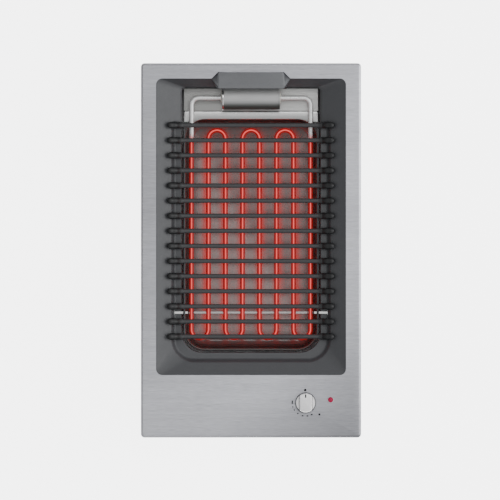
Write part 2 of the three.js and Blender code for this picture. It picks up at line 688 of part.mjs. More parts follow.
function wellSurround() {
  const gauge = SURROUND_GAUGE;
  const outside = join(
    solidOf(loft([
      { points: openingOutline(gauge), z: ledgeZ - gauge },
      { points: wellOutline(gauge), z: flangeTopZ - gauge },
      { points: wellOutline(gauge), z: flangeTopZ },
    ])),
    solidOf(prism(grooveOutline(gauge), ledgeZ - gauge, flangeTopZ)),
    solidOf(prism(openingOutline(gauge), ledgeZ - SURROUND_SKIRT, ledgeZ)),
    solidOf(prism(outline(flangeHalf, flangeFrontY, flangeRearY, WELL_CORNER), flangeTopZ - gauge,
      flangeTopZ)),
  );
  const inside = join(
    solidOf(loft([
      { points: openingOutline(0), z: ledgeZ },
      { points: wellOutline(0), z: flangeTopZ },
      { points: wellOutline(0), z: flangeTopZ + OVERRUN },
    ])),
    solidOf(prism(grooveOutline(0), ledgeZ, flangeTopZ + OVERRUN)),
    solidOf(prism(openingOutline(0), ledgeZ - SURROUND_SKIRT - OVERRUN, flangeTopZ)),
  );
  const notchHalf = HOOD_BASE_REAR_HALF + gauge;
  const notch = join(hoodSolid(-SEAT), hoodSolid(gauge),
    solidOf(box(-notchHalf, notchHalf, wellRearY, flangeRearY + OVERRUN, flangeTopZ - gauge - OVERRUN,
      flangeTopZ + OVERRUN)));
  const studHoles = studPlaces.map(([x, y]) => solidOf(
    cylinder(STUD_RADIUS + SEAT, flangeTopZ - gauge - OVERRUN, flangeTopZ + OVERRUN,
      SCREW_SIDES).translate(x, y, 0)));
  return geometryOf(cut(outside, inside, notch, ...studHoles, ...barNotches()));
}

// Hood: a folded sheet, open at the front and below, welded along its feet into the surround's notch
function wellHood() {
  return geometryOf(cut(hoodSolid(0), hoodSolid(SURROUND_GAUGE)));
}

// Casing, an open box of zinc-coated sheet
function casingOutline(inset) {
  return outline(casingHalfWidth - inset, casingFrontY + inset, casingRearY - inset,
    Math.max(CASING_CORNER - inset, inset));
}

const clipPlaces = [
  [-1, casingFrontY + CLIP_END_INSET], [1, casingFrontY + CLIP_END_INSET],
  [-1, casingRearY - CLIP_END_INSET], [1, casingRearY - CLIP_END_INSET],
];

function sideHole(side, y, z) {
  return solidOf(cylinder(SCREW_HOLE_RADIUS, -OVERRUN, OVERRUN, SCREW_SIDES).rotateY(Math.PI / 2)
    .translate(side * (casingHalfWidth - CASING_GAUGE / 2), y, z));
}

function outerCasing() {
  const shell = solidOf(prism(casingOutline(0), 0, plateUnderZ - SEAT));
  const hollow = solidOf(prism(casingOutline(CASING_GAUGE), CASING_GAUGE, plateUnderZ + OVERRUN));
  const tabHoles = tabPlaces.map(([side, y]) => sideHole(side, y, plateUnderZ - TAB_SCREW_DROP));
  const clipHoles = clipPlaces.map(([side, y]) => sideHole(side, y, CLIP_BASE_Z + CLIP_SCREW_RISE));
  const inletHole = solidOf(cylinder(INLET_RADIUS + SEAT, -OVERRUN, OVERRUN).rotateY(Math.PI / 2)
    .translate(-casingHalfWidth, blockY, INLET_Z));
  const vents = Array.from({ length: VENT_COUNT }, (_, at) => {
    const x = (at - (VENT_COUNT - 1) / 2) * VENT_PITCH;
    const y = casingFrontY + VENT_FRONT_INSET;
    return solidOf(box(x - VENT_WIDTH / 2, x + VENT_WIDTH / 2, y, y + VENT_LENGTH, -OVERRUN,
      CASING_GAUGE + OVERRUN));
  });
  return geometryOf(cut(shell, hollow, ...tabHoles, ...clipHoles, inletHole, ...vents));
}

// Spring clip: a strip that lies on the casing wall and springs outwards above its screw
function springClip(side) {
  const wallX = casingHalfWidth + SEAT;
  const topZ = CLIP_BASE_Z + CLIP_BASE_HEIGHT;
  const tongueZ = topZ + CLIP_TONGUE_HEIGHT;
  const midline = [
    [wallX, CLIP_BASE_Z], [wallX, topZ], [wallX + CLIP_REACH, tongueZ],
      [wallX + CLIP_REACH - CLIP_LIP / 2, tongueZ + CLIP_LIP],
  ];
  const outer = midline.map(([x, z]) => [x + CLIP_GAUGE, z]).reverse();
  const strip = solidOf(extrudedAlongY([...midline, ...outer], CLIP_WIDTH));
  const hole = solidOf(cylinder(SCREW_HOLE_RADIUS, -OVERRUN, OVERRUN, SCREW_SIDES).rotateY(Math.PI / 2)
    .translate(wallX + CLIP_GAUGE / 2, 0, CLIP_BASE_Z + CLIP_SCREW_RISE));
  const clip = geometryOf(cut(strip, hole));
  return side > 0 ? clip : clip.rotateZ(Math.PI);
}

// Pan bay, the inner tray that the pan stands in
function bayOutline(grow) {
  return outline(bayHalf + grow, bayFrontY - grow, bayRearY + grow,
    OPENING_FRONT_RADIUS + SURROUND_GAUGE + BAY_CLEAR + grow, BAY_REAR_RADIUS + grow);
}

function panBay() {
  const walls = solidOf(prism(bayOutline(BAY_GAUGE), bayFloorZ, bayTopZ));
  const flange = solidOf(prism(bayOutline(BAY_FLANGE), bayTopZ - BAY_GAUGE, bayTopZ));
  const hollow = solidOf(prism(bayOutline(0), bayFloorTopZ, bayTopZ + OVERRUN));
  const beadX = panHalf - BEAD_SIDE_INSET;
  const beads = [-beadX, beadX].map((x) => solidOf(extrudedAlongY([
    [x - BEAD_WIDTH / 2, bayFloorTopZ - BAY_GAUGE / 2], [x + BEAD_WIDTH / 2, bayFloorTopZ - BAY_GAUGE / 2],
    [x + BEAD_WIDTH / 4, bayFloorTopZ + BEAD_HEIGHT], [x - BEAD_WIDTH / 4, bayFloorTopZ + BEAD_HEIGHT],
  ], panRearY - panFrontY - 2 * BEAD_END_INSET).translate(0, (panRearY + panFrontY) / 2, 0)));
  const leadHole = solidOf(cylinder(LEAD_HOLE_RADIUS, -OVERRUN, OVERRUN, 16).rotateX(Math.PI / 2)
    .translate(leadEntryX, bayRearY + BAY_GAUGE / 2, leadEntryZ));
  return geometryOf(cut(join(cut(join(walls, flange), hollow), ...beads), leadHole));
}

function bayRail() {
  const half = RAIL_WIDTH / 2;
  const bottom = CASING_GAUGE + SEAT;
  const top = bayFloorZ - SEAT;
  const inner = half - RAIL_GAUGE;
  const profile = [
    [-half, bottom], [-inner, bottom], [-inner, top - RAIL_GAUGE], [inner, top - RAIL_GAUGE],
    [inner, bottom], [half, bottom], [half, top], [-half, top],
  ];
  return extrudedAlongY(profile, bayRearY - bayFrontY - 2 * RAIL_END_INSET);
}

function heatShield() {
  const y = bayFrontY - SHIELD_SETBACK;
  const half = casingInnerX - SHIELD_SIDE_INSET;
  const bottom = CASING_GAUGE + SEAT;
  const profile = [
    [y, bottom], [y, ledgeZ - SHIELD_TOP_DROP], [y - SHIELD_GAUGE, ledgeZ - SHIELD_TOP_DROP],
    [y - SHIELD_GAUGE, bottom + SHIELD_GAUGE], [y - SHIELD_FOOT, bottom + SHIELD_GAUGE],
      [y - SHIELD_FOOT, bottom],
  ];
  const sheet = solidOf(extrudedAlongX(profile, 2 * half));
  const notches = [-1, 1].map((side) => {
    const run = [side * (half - SHIELD_NOTCH_WIDTH), side * (half + OVERRUN)].sort((a, b) => a - b);
    return solidOf(box(...run, y - SHIELD_FOOT - OVERRUN, y + OVERRUN, bottom - OVERRUN,
      bottom + SHIELD_NOTCH_HEIGHT));
  });
  return geometryOf(cut(sheet, ...notches));
}

// Rear shelf, a bridge over the wires at the back of the bay
const shelfRearY = shelfFrontY + SHELF_DEPTH;
const leadEntryX = shelfHalf / 2;
const leadEntryZ = (bayFloorTopZ + shelfZ) / 2;

function rearShelf() {
  const foot = bayFloorTopZ + SEAT;
  const profile = [
    [shelfFrontY, foot], [shelfFrontY + SHELF_GAUGE, foot],
      [shelfFrontY + SHELF_GAUGE, shelfZ - SHELF_GAUGE],
    [shelfRearY - SHELF_GAUGE, shelfZ - SHELF_GAUGE], [shelfRearY - SHELF_GAUGE, foot], [shelfRearY, foot],
    [shelfRearY, shelfZ], [shelfFrontY, shelfZ],
  ];
  const bridge = solidOf(extrudedAlongX(profile, 2 * shelfHalf));
  const slot = solidOf(box(-WIRE_SLOT_LENGTH / 2, WIRE_SLOT_LENGTH / 2,
    pivotY - WIRE_SLOT_WIDTH / 2, pivotY + WIRE_SLOT_WIDTH / 2, shelfZ - SHELF_GAUGE - OVERRUN,
      shelfZ + OVERRUN));
  const leadHole = solidOf(cylinder(LEAD_HOLE_RADIUS, -OVERRUN, OVERRUN, 16).rotateX(Math.PI / 2)
    .translate(leadEntryX, shelfRearY - SHELF_GAUGE / 2, leadEntryZ));
  return geometryOf(cut(bridge, slot, leadHole));
}

// Drip pan: a drawn basin with a wide rear flange and a turned lip
function panOutline(inset) {
  return outline(panHalf - inset, panFrontY + inset, panRearY - inset,
    PAN_BASIN_RADIUS + PAN_SIDE_FLANGE - inset,
      Math.max(PAN_REAR_RIM_RADIUS - inset, PAN_REAR_RIM_RADIUS / 2));
}

function basinOutline(inset) {
  return outline(panHalf - PAN_SIDE_FLANGE - inset, panFrontY + PAN_SIDE_FLANGE + inset,
    panRearY - PAN_REAR_FLANGE - inset, PAN_BASIN_RADIUS - inset);
}

function basin(grow, floorZ, topZ) {
  const sections = [];
  for (let step = PAN_FILLET_STEPS; step >= 0; step -= 1) {
    const angle = step / PAN_FILLET_STEPS * Math.PI / 2;
    sections.push({
      points: basinOutline(PAN_WALL_DRAFT + PAN_FLOOR_FILLET * (1 - Math.cos(angle)) - grow),
      z: floorZ + PAN_FLOOR_FILLET * (1 - Math.sin(angle)),
    });
  }
  sections.push({ points: basinOutline(-grow), z: topZ });
  return solidOf(loft(sections));
}

function dripPan() {
  const flange = solidOf(prism(panOutline(0), panRimZ - PAN_GAUGE, panRimZ));
  const lip = cut(solidOf(prism(panOutline(0), panRimZ - PAN_LIP, panRimZ)),
    solidOf(prism(panOutline(PAN_GAUGE), panRimZ - PAN_LIP - OVERRUN, panRimZ + OVERRUN)));
  const outside = basin(PAN_GAUGE, panUnderZ, panRimZ);
  const inside = basin(0, panUnderZ + PAN_GAUGE, panRimZ + PAN_GAUGE);
  const mouth = solidOf(prism(basinOutline(0), panRimZ - PAN_GAUGE, panRimZ + OVERRUN));
  return geometryOf(cut(join(flange, lip, outside), inside, mouth));
}

// Heating element: cold ends on the pivot axis, then eight legs joined by round bends
const turnRadius = legPitch / 2;
const rearTurnY = pivotY - HEATER_REAR_SETBACK - turnRadius;
const frontTurnY = openingFrontY + HEATER_FRONT_GAP + turnRadius;

function arcStations(x, y, radius, from, sweep, steps) {
  return Array.from({ length: steps + 1 }, (_, step) => {
    const angle = from + sweep * step / steps;
    return new THREE.Vector3(x + radius * Math.cos(angle), y + radius * Math.sin(angle), pivotZ);
  });
}

function heaterCentreline() {
  const bendX = outerLegX - COLD_BEND_RADIUS;
  const bendY = pivotY - COLD_BEND_RADIUS;
  const quarter = Math.PI / 2;
  const points = [new THREE.Vector3(-COLD_END_X, pivotY, pivotZ)];
  points.push(...arcStations(-bendX, bendY, COLD_BEND_RADIUS, quarter, quarter, BEND_STEPS));
  for (let gap = 0; gap < HEATER_LEGS - 1; gap += 1) {
    const x = -outerLegX + (gap + 1 / 2) * legPitch;
    const front = gap % 2 === 0;
    points.push(...arcStations(x, front ? frontTurnY : rearTurnY, turnRadius,
      2 * quarter, (front ? 2 : -2) * quarter, TURN_STEPS));
  }
  points.push(...arcStations(bendX, bendY, COLD_BEND_RADIUS, 0, quarter, BEND_STEPS));
  points.push(new THREE.Vector3(COLD_END_X, pivotY, pivotZ));
  return points;
}

function heatingElement() {
  const stations = heaterCentreline().map((centre) => ({ centre, radius: HEATER_RADIUS }));
  return sweptBar(stations, new THREE.Vector3(0, 0, 1), HEATER_SIDES);
}

function terminalInsulator(side) {
  const start = COLD_END_X - SEAT - INSULATOR_LENGTH;
  const profile = [
    [PIN_RADIUS + SEAT, start], [INSULATOR_RADIUS, start], [INSULATOR_RADIUS, start + INSULATOR_LENGTH],
    [PIN_RADIUS + SEAT, start + INSULATOR_LENGTH], [PIN_RADIUS + SEAT, start],
  ];
  return turnedAlongX(profile, 16, side).translate(0, pivotY, pivotZ);
}

function terminalPin(side) {
  const end = COLD_END_X - SEAT;
  const shoulder = end - INSULATOR_LENGTH - 2 * SEAT;
  const profile = [
    [0, end - PIN_LENGTH], [PIN_RADIUS, end - PIN_LENGTH], [2 * PIN_RADIUS, end - PIN_LENGTH + PIN_RADIUS],
    [2 * PIN_RADIUS, shoulder], [PIN_RADIUS, shoulder], [PIN_RADIUS, end], [0, end],
  ];
  return turnedAlongX(profile, 12, side).translate(0, pivotY, pivotZ);
}

// Support bar: a cranked strip whose tips lie in the notches of the ledge
function legClip(side) {
  const inner = HEATER_RADIUS + SEAT;
  const outer = inner + BAR_CLIP_GAUGE;
  const open = THREE.MathUtils.degToRad(BAR_CLIP_OPEN);
  const shape = new THREE.Shape();
  shape.absarc(0, 0, outer, Math.PI - open, 2 * Math.PI + open, false);
  shape.absarc(0, 0, inner, 2 * Math.PI + open, Math.PI - open, true);
  const clip = new THREE.ExtrudeGeometry(shape, { depth: BAR_WIDTH, bevelEnabled: false, curveSegments: 8 });
  return solidOf(clip.translate(0, 0, -BAR_WIDTH / 2).rotateX(Math.PI / 2).translate(side * outerLegX, barY,
    pivotZ));
}

function supportBar() {
  const lowTop = pivotZ - HEATER_RADIUS - SEAT;
  const low = lowTop - BAR_GAUGE;
  const tipBottom = barTipTopZ - BAR_GAUGE;
  const outerCrank = barCrankX + BAR_GAUGE;
  const right = [
    [outerCrank, low], [outerCrank, tipBottom], [barTipX, tipBottom], [barTipX, barTipTopZ],
    [barCrankX, barTipTopZ], [barCrankX, lowTop],
  ];
  const left = right.map(([x, z]) => [-x, z]).reverse();
  const strip = solidOf(extrudedAlongY([...right, ...left], BAR_WIDTH).translate(0, barY, 0));
  return geometryOf(join(strip, legClip(-1), legClip(1)));
}

// Terminal housing, its caps and the bushes that the cold ends turn in
function terminalHousing() {
  const half = HOUSING_HALF - CAP_FLANGE - SEAT;
  const inner = HOUSING_RADIUS - HOUSING_GAUGE;
  const profile = [[inner, -half], [HOUSING_RADIUS, -half], [HOUSING_RADIUS, half], [inner, half],
    [inner, -half]];
  const tube = solidOf(turnedAlongX(profile, HOUSING_SIDES).translate(0, pivotY, pivotZ));
  const slot = solidOf(box(-WIRE_SLOT_LENGTH / 2, WIRE_SLOT_LENGTH / 2,
    pivotY - WIRE_SLOT_WIDTH / 2, pivotY + WIRE_SLOT_WIDTH / 2, pivotZ - HOUSING_RADIUS - OVERRUN, pivotZ));
  return geometryOf(cut(tube, slot));
}

function housingCap(side, flangeRadius) {
  const flangeStart = HOUSING_HALF - CAP_FLANGE;
  const spigot = HOUSING_RADIUS - HOUSING_GAUGE - SEAT;
  const bore = BUSH_RADIUS + SEAT;
  const profile = [
    [bore, flangeStart - CAP_WEB + CAP_FLANGE / 2],
      [spigot - CAP_WEB, flangeStart - CAP_WEB + CAP_FLANGE / 2],
    [spigot - CAP_WEB, flangeStart - CAP_SPIGOT], [spigot, flangeStart - CAP_SPIGOT],
    [spigot, flangeStart], [flangeRadius, flangeStart], [flangeRadius, HOUSING_HALF - CAP_RING_STEP],
    [flangeRadius - CAP_RING_STEP, HOUSING_HALF], [bore, HOUSING_HALF],
    [bore, flangeStart - CAP_WEB + CAP_FLANGE / 2],
  ];
  return turnedAlongX(profile, HOUSING_SIDES, side).translate(0, pivotY, pivotZ);
}

// The left cap also has a cheek, which reaches forward and stands on the shelf
function cheekedCap() {
  const frontY = shelfFrontY + SEAT;
  const footZ = shelfZ + SEAT;
  const innerX = CHEEK_GAUGE - HOUSING_HALF;
  const upright = solidOf(box(-HOUSING_HALF, innerX, frontY, pivotY - BUSH_RADIUS - CAP_FLANGE, footZ,
    pivotZ + CAP_FLANGE));
  const foot = solidOf(box(-HOUSING_HALF, innerX, frontY, pivotY + HOUSING_RADIUS / 2, footZ,
    footZ + CHEEK_FOOT));
  return geometryOf(join(solidOf(housingCap(-1, HOUSING_RADIUS + CAP_FLANGE_OVER)), upright, foot));
}

function pivotBush(side) {
  const bore = HEATER_RADIUS + BUSH_CLEAR;
  const inside = HOUSING_HALF - CAP_FLANGE - CAP_SPIGOT;
  const flange = HOUSING_HALF + SEAT;
  const profile = [
    [bore, inside], [BUSH_RADIUS, inside], [BUSH_RADIUS, flange], [BUSH_FLANGE_RADIUS, flange],
    [BUSH_FLANGE_RADIUS, flange + BUSH_FLANGE / 2], [BUSH_RADIUS, flange + BUSH_FLANGE],
    [bore, flange + BUSH_FLANGE], [bore, inside],
  ];
  return turnedAlongX(profile, 16, side).translate(0, pivotY, pivotZ);
}

function housingSaddle() {
  const seat = HOUSING_RADIUS + SEAT;
  const bottom = shelfZ + SEAT;
  const reach = Math.asin(SADDLE_HALF_WIDTH / seat);
  const arc = Array.from({ length: SADDLE_ARC_STEPS + 1 }, (_, step) => {
    const angle = reach - 2 * reach * step / SADDLE_ARC_STEPS;
    return [pivotY + seat * Math.sin(angle), pivotZ - seat * Math.cos(angle)];
  });
  const profile = [[pivotY - SADDLE_HALF_WIDTH, bottom], [pivotY + SADDLE_HALF_WIDTH, bottom], ...arc];
  const block = solidOf(extrudedAlongX(profile, SADDLE_LENGTH));
  const slot = solidOf(box(-WIRE_SLOT_LENGTH / 2, WIRE_SLOT_LENGTH / 2,
    pivotY - WIRE_SLOT_WIDTH / 2, pivotY + WIRE_SLOT_WIDTH / 2, shelfZ - OVERRUN, pivotZ));
  return geometryOf(cut(block, slot));
}

// Cooking grate: rods whose thickened ends rise along the slopes, welded on two ties
function slopeZ(x) {
  return ledgeZ + (x - openingHalf) * slopePerMm;
}

function rodStations() {
  const stand = (ROD_END_RADIUS + SEAT) * Math.hypot(1, slopePerMm);
  const flatX = grooveHalf - ROD_FLAT_INSET;
  const roundStart = grooveHalf + ROD_OVERREACH - ROD_END_RADIUS;
  const half = ROD_BEND_SHARES.map((share) => {
    const ease = (1 - Math.cos(share * Math.PI)) / 2;
    return {
      x: flatX + (grooveHalf - flatX) * share,
      z: rodZ + (slopeZ(grooveHalf) + stand - rodZ) * ease,
      radius: ROD_RADIUS + (ROD_END_RADIUS - ROD_RADIUS) * ease,
    };
  });
  half.push({ x: roundStart, z: slopeZ(roundStart) + stand, radius: ROD_END_RADIUS });
  for (const [along, size] of ROD_TIP_SHARES) {
    const x = roundStart + ROD_END_RADIUS * along;
    half.push({ x, z: slopeZ(x) + stand, radius: ROD_END_RADIUS * size });
  }
  return [...half.map((at) => ({ ...at, x: -at.x })).reverse(), ...half];
}

const firstRodY = openingRearY - ROD_REAR_SETBACK;
const lastRodY = openingFrontY + ROD_FRONT_SETBACK;

function cookingGrate() {
  const across = new THREE.Vector3(0, 1, 0);
  const rods = Array.from({ length: ROD_COUNT }, (_, at) => {
    const y = firstRodY + (lastRodY - firstRodY) * at / (ROD_COUNT - 1);
    const stations = rodStations().map(({ x, z, radius }) => (
      { centre: new THREE.Vector3(x, y, z), radius }));
    return solidOf(sweptBar(stations, across, ROD_SIDES));
  });
  const tieZ = rodZ - ROD_RADIUS - TIE_RADIUS + TIE_WELD;
  const tieX = openingHalf - TIE_GAP - TIE_RADIUS;
  const ties = [-tieX, tieX].map((x) => solidOf(cylinder(TIE_RADIUS, lastRodY, firstRodY, TIE_SIDES)
    .rotateX(-Math.PI / 2).translate(x, 0, tieZ)));
  return geometryOf(join(...rods, ...ties));
}

// Knob, its shaft and the ring that seals the hole under it
const knobBottomZ = plateTopZ + KNOB_STAND;

function controlKnob() {
  const top = knobBottomZ + KNOB_HEIGHT;
  const base = solidOf(turned([
    [0, knobBottomZ], [KNOB_RADIUS, knobBottomZ], [KNOB_RADIUS, knobBottomZ + KNOB_BASE_HEIGHT - KNOB_EDGE],
    [KNOB_RADIUS - KNOB_EDGE, knobBottomZ + KNOB_BASE_HEIGHT], [0, knobBottomZ + KNOB_BASE_HEIGHT],
  ], KNOB_SIDES));
  const round = solidOf(turned([
    [0, knobBottomZ], [KNOB_RADIUS, knobBottomZ], [KNOB_RADIUS - KNOB_EDGE, top - KNOB_EDGE],
    [KNOB_RADIUS - 2 * KNOB_EDGE, top], [0, top],
  ], KNOB_SIDES));
  const slab = solidOf(extrudedAlongY([
    [-KNOB_GRIP_WIDTH / 2, knobBottomZ], [KNOB_GRIP_WIDTH / 2, knobBottomZ],
    [KNOB_GRIP_TOP_WIDTH / 2, top - KNOB_EDGE], [KNOB_GRIP_TOP_WIDTH / 2 - KNOB_EDGE, top],
    [KNOB_EDGE - KNOB_GRIP_TOP_WIDTH / 2, top], [-KNOB_GRIP_TOP_WIDTH / 2, top - KNOB_EDGE],
  ], 2 * KNOB_RADIUS + OVERRUN));
  const cavity = cut(
    solidOf(cylinder(KNOB_RADIUS - KNOB_WALL, knobBottomZ - OVERRUN, knobBottomZ + KNOB_CAVITY_DEPTH,
      KNOB_SIDES)),
    solidOf(cylinder(KNOB_HUB_RADIUS, knobBottomZ - 2 * OVERRUN, knobBottomZ + KNOB_CAVITY_DEPTH + OVERRUN)),
  );
  const bore = shaftForm(SHAFT_CLEAR, knobBottomZ - OVERRUN, knobBottomZ + SHAFT_IN_KNOB + SEAT);
  return geometryOf(cut(join(base, round.intersect(slab)), cavity, bore).translate([knobX, knobY, 0]));
}

function shaftForm(grow, bottom, top) {
  const round = solidOf(cylinder(SHAFT_RADIUS + grow, bottom, top, 20));
  const flat = SHAFT_RADIUS - SHAFT_FLAT + grow;
  return cut(round, solidOf(box(-2 * SHAFT_RADIUS, 2 * SHAFT_RADIUS, flat, flat + 2 * SHAFT_RADIUS,
    knobBottomZ, top + OVERRUN)));
}

function knobShaft() {
  const shaft = shaftForm(0, bracketWebZ - SHAFT_TAIL, knobBottomZ + SHAFT_IN_KNOB);
  return geometryOf(shaft.translate([knobX, knobY, 0]));
}

function knobSeal() {
  const inner = SEAL_RING_RADIUS;
  const outer = inner + SEAL_RING_WALL;
  const bottom = plateTopZ + SEAT;
  const profile = [
    [inner, bottom], [outer, bottom], [inner + SEAL_RING_WALL / 2, bottom + SEAL_RING_WALL],
    [inner, bottom + SEAL_RING_WALL], [inner, bottom],
  ];
  return turned(profile, 24).translate(knobX, knobY, 0);
}

function regulatorBracket() {
  const half = BRACKET_HALF_WIDTH;
  const foot = half + BRACKET_FOOT;
  const right = [
    [half - BRACKET_GAUGE, bracketWebZ], [half - BRACKET_GAUGE, flangeTopZ], [foot, flangeTopZ],
    [foot, flangeTopZ - BRACKET_GAUGE], [half, flangeTopZ - BRACKET_GAUGE],
      [half, bracketWebZ - BRACKET_GAUGE],
  ];
  const left = right.map(([x, z]) => [-x, z]).reverse();
  const strip = solidOf(extrudedAlongY([...left, ...right].reverse(), BRACKET_LENGTH));
  const hole = solidOf(cylinder(REGULATOR_BUSH_RADIUS + SEAT, bracketWebZ - BRACKET_GAUGE - OVERRUN,
    bracketWebZ + OVERRUN));
  return geometryOf(cut(strip, hole).translate([knobX, knobY, 0]));
}

function energyRegulator() {
  const bottom = regulatorTopZ - REGULATOR_HEIGHT;
  const body = solidOf(prism(outline(REGULATOR_WIDTH / 2, -REGULATOR_LENGTH / 2, REGULATOR_LENGTH / 2,
    REGULATOR_CORNER),
    bottom, regulatorTopZ));
  const bush = solidOf(cylinder(REGULATOR_BUSH_RADIUS, regulatorTopZ - WELD,
    regulatorTopZ + REGULATOR_BUSH_HEIGHT));
  const bore = solidOf(cylinder(SHAFT_RADIUS + SHAFT_CLEAR, bracketWebZ - SHAFT_TAIL - SEAT,
    regulatorTopZ + REGULATOR_BUSH_HEIGHT + OVERRUN, 20));
  const blades = [-1, 0, 1].map((at) => solidOf(box(
    at * BLADE_SPREAD - BLADE_WIDTH / 2, at * BLADE_SPREAD + BLADE_WIDTH / 2,
    -BLADE_GAUGE / 2, BLADE_GAUGE / 2, bottom - BLADE_LENGTH, bottom + WELD)));
  return geometryOf(cut(join(body, bush, ...blades), bore).translate([knobX, knobY, 0]));
}

function lampHolder() {
  const top = plateTopZ + SEAT;
  const inner = LAMP_LENS_RADIUS - LAMP_FLANGE;
  const profile = [
    [0, top - LAMP_LENGTH], [LAMP_BODY_RADIUS, top - LAMP_LENGTH], [LAMP_BODY_RADIUS, top],
    [LAMP_FLANGE_RADIUS, top], [LAMP_FLANGE_RADIUS - LAMP_FLANGE / 2, top + LAMP_FLANGE],
    [LAMP_LENS_RADIUS + SEAT, top + LAMP_FLANGE], [LAMP_LENS_RADIUS + SEAT, top - LAMP_FLANGE],
    [inner, top - LAMP_FLANGE], [inner, top - LAMP_LENGTH / 2], [0, top - LAMP_LENGTH / 2],
  ];
  return turned(profile, LAMP_SIDES).translate(lampX, lampY, 0);
}

function lampLens() {
  const bottom = plateTopZ + 2 * SEAT - LAMP_FLANGE;
  const rim = plateTopZ + LAMP_FLANGE;
  const dome = [[0.5, 0.95], [0.8, 0.7], [0.95, 0.35]].map(([across, up]) => [
    LAMP_LENS_RADIUS * across, rim + LAMP_DOME * up]).reverse();
  const profile = [[0, bottom], [LAMP_LENS_RADIUS, bottom], [LAMP_LENS_RADIUS, rim], ...dome,
    [0, rim + LAMP_DOME]];
  return turned(profile, LAMP_SIDES).translate(lampX, lampY, 0);
}

// Electrical pieces
function thermalCutout() {
  const wallY = bayFrontY - BAY_GAUGE - SEAT;
  const z = bayFloorTopZ + CUTOUT_RISE;
  const flange = solidOf(box(cutoutX - CUTOUT_FLANGE_HALF, cutoutX + CUTOUT_FLANGE_HALF,
    wallY - CUTOUT_FLANGE_GAUGE, wallY, z - CUTOUT_RADIUS / 2, z + CUTOUT_RADIUS / 2));
  const body = solidOf(cylinder(CUTOUT_RADIUS, 0, CUTOUT_DEPTH).rotateX(Math.PI / 2).translate(cutoutX,
    wallY, z));
  const blades = [-1, 1].map((side) => solidOf(box(
    cutoutX + side * CUTOUT_RADIUS / 2 - BLADE_GAUGE / 2,
      cutoutX + side * CUTOUT_RADIUS / 2 + BLADE_GAUGE / 2,
    wallY - CUTOUT_DEPTH - BLADE_LENGTH / 2, wallY - CUTOUT_DEPTH + WELD, z - BLADE_WIDTH / 2,
      z + BLADE_WIDTH / 2)));
  return geometryOf(join(flange, body, ...blades));
}

const blockY = casingInnerFrontY + BLOCK_FRONT_INSET;

function mainsTerminalBlock() {
  const bottom = CASING_GAUGE + SEAT;
  const base = solidOf(box(blockX - BLOCK_WIDTH / 2, blockX + BLOCK_WIDTH / 2,
    blockY - BLOCK_LENGTH / 2, blockY + BLOCK_LENGTH / 2, bottom, bottom + BLOCK_BASE));
  const pitch = (BLOCK_WIDTH - BLOCK_POLE_GAP) / BLOCK_POLES;
  const poles = Array.from({ length: BLOCK_POLES }, (_, at) => {
    const x = blockX - BLOCK_WIDTH / 2 + BLOCK_POLE_GAP + at * pitch;
    const pole = solidOf(box(x, x + pitch - BLOCK_POLE_GAP, blockY - BLOCK_LENGTH / 2 + BLOCK_POLE_GAP,
      blockY + BLOCK_LENGTH / 2 - BLOCK_POLE_GAP, bottom, bottom + BLOCK_HEIGHT));
    const screwHole = solidOf(cylinder(BLOCK_SCREW_RADIUS, bottom + BLOCK_HEIGHT - BLOCK_SCREW_DEPTH,
      bottom + BLOCK_HEIGHT + OVERRUN, 16).translate(x + (pitch - BLOCK_POLE_GAP) / 2, blockY, 0));
    return cut(pole, screwHole);
  });
  return geometryOf(join(base, ...poles));
}

// The bush that the supply cord comes in through, and its nut
function cableInlet() {
  const outside = casingHalfWidth + INLET_FLANGE;
  const profile = [
    [INLET_BORE, casingHalfWidth - INLET_INSIDE], [INLET_RADIUS, casingHalfWidth - INLET_INSIDE],
    [INLET_RADIUS, casingHalfWidth + SEAT], [INLET_FLANGE_RADIUS, casingHalfWidth + SEAT],
    [INLET_FLANGE_RADIUS - INLET_FLANGE / 2, outside], [INLET_BORE, outside],
    [INLET_BORE, casingHalfWidth - INLET_INSIDE],
  ];
  return turnedAlongX(profile, 20, -1).translate(0, blockY, INLET_Z);
}

function inletNut() {
  return hexNut(INLET_NUT_FLATS, INLET_NUT_HEIGHT, INLET_RADIUS + SEAT).rotateY(Math.PI / 2)
    .translate(SEAT + INLET_NUT_HEIGHT / 2 - casingInnerX, blockY, INLET_Z);
}

// Leads inside the unit
const leadFloorZ = CASING_GAUGE + LEAD_RADIUS + LEAD_STAND;
const sideRunX = (casingInnerX + bayHalf + BAY_GAUGE) / 2;
const rearRunY = (casingInnerRearY + bayRearY + BAY_GAUGE) / 2;
const bladeEndZ = regulatorTopZ - REGULATOR_HEIGHT - BLADE_LENGTH - SEAT;
const blockWireY = blockY + BLOCK_LENGTH / 2 - BLOCK_POLE_GAP + 2 * SEAT;

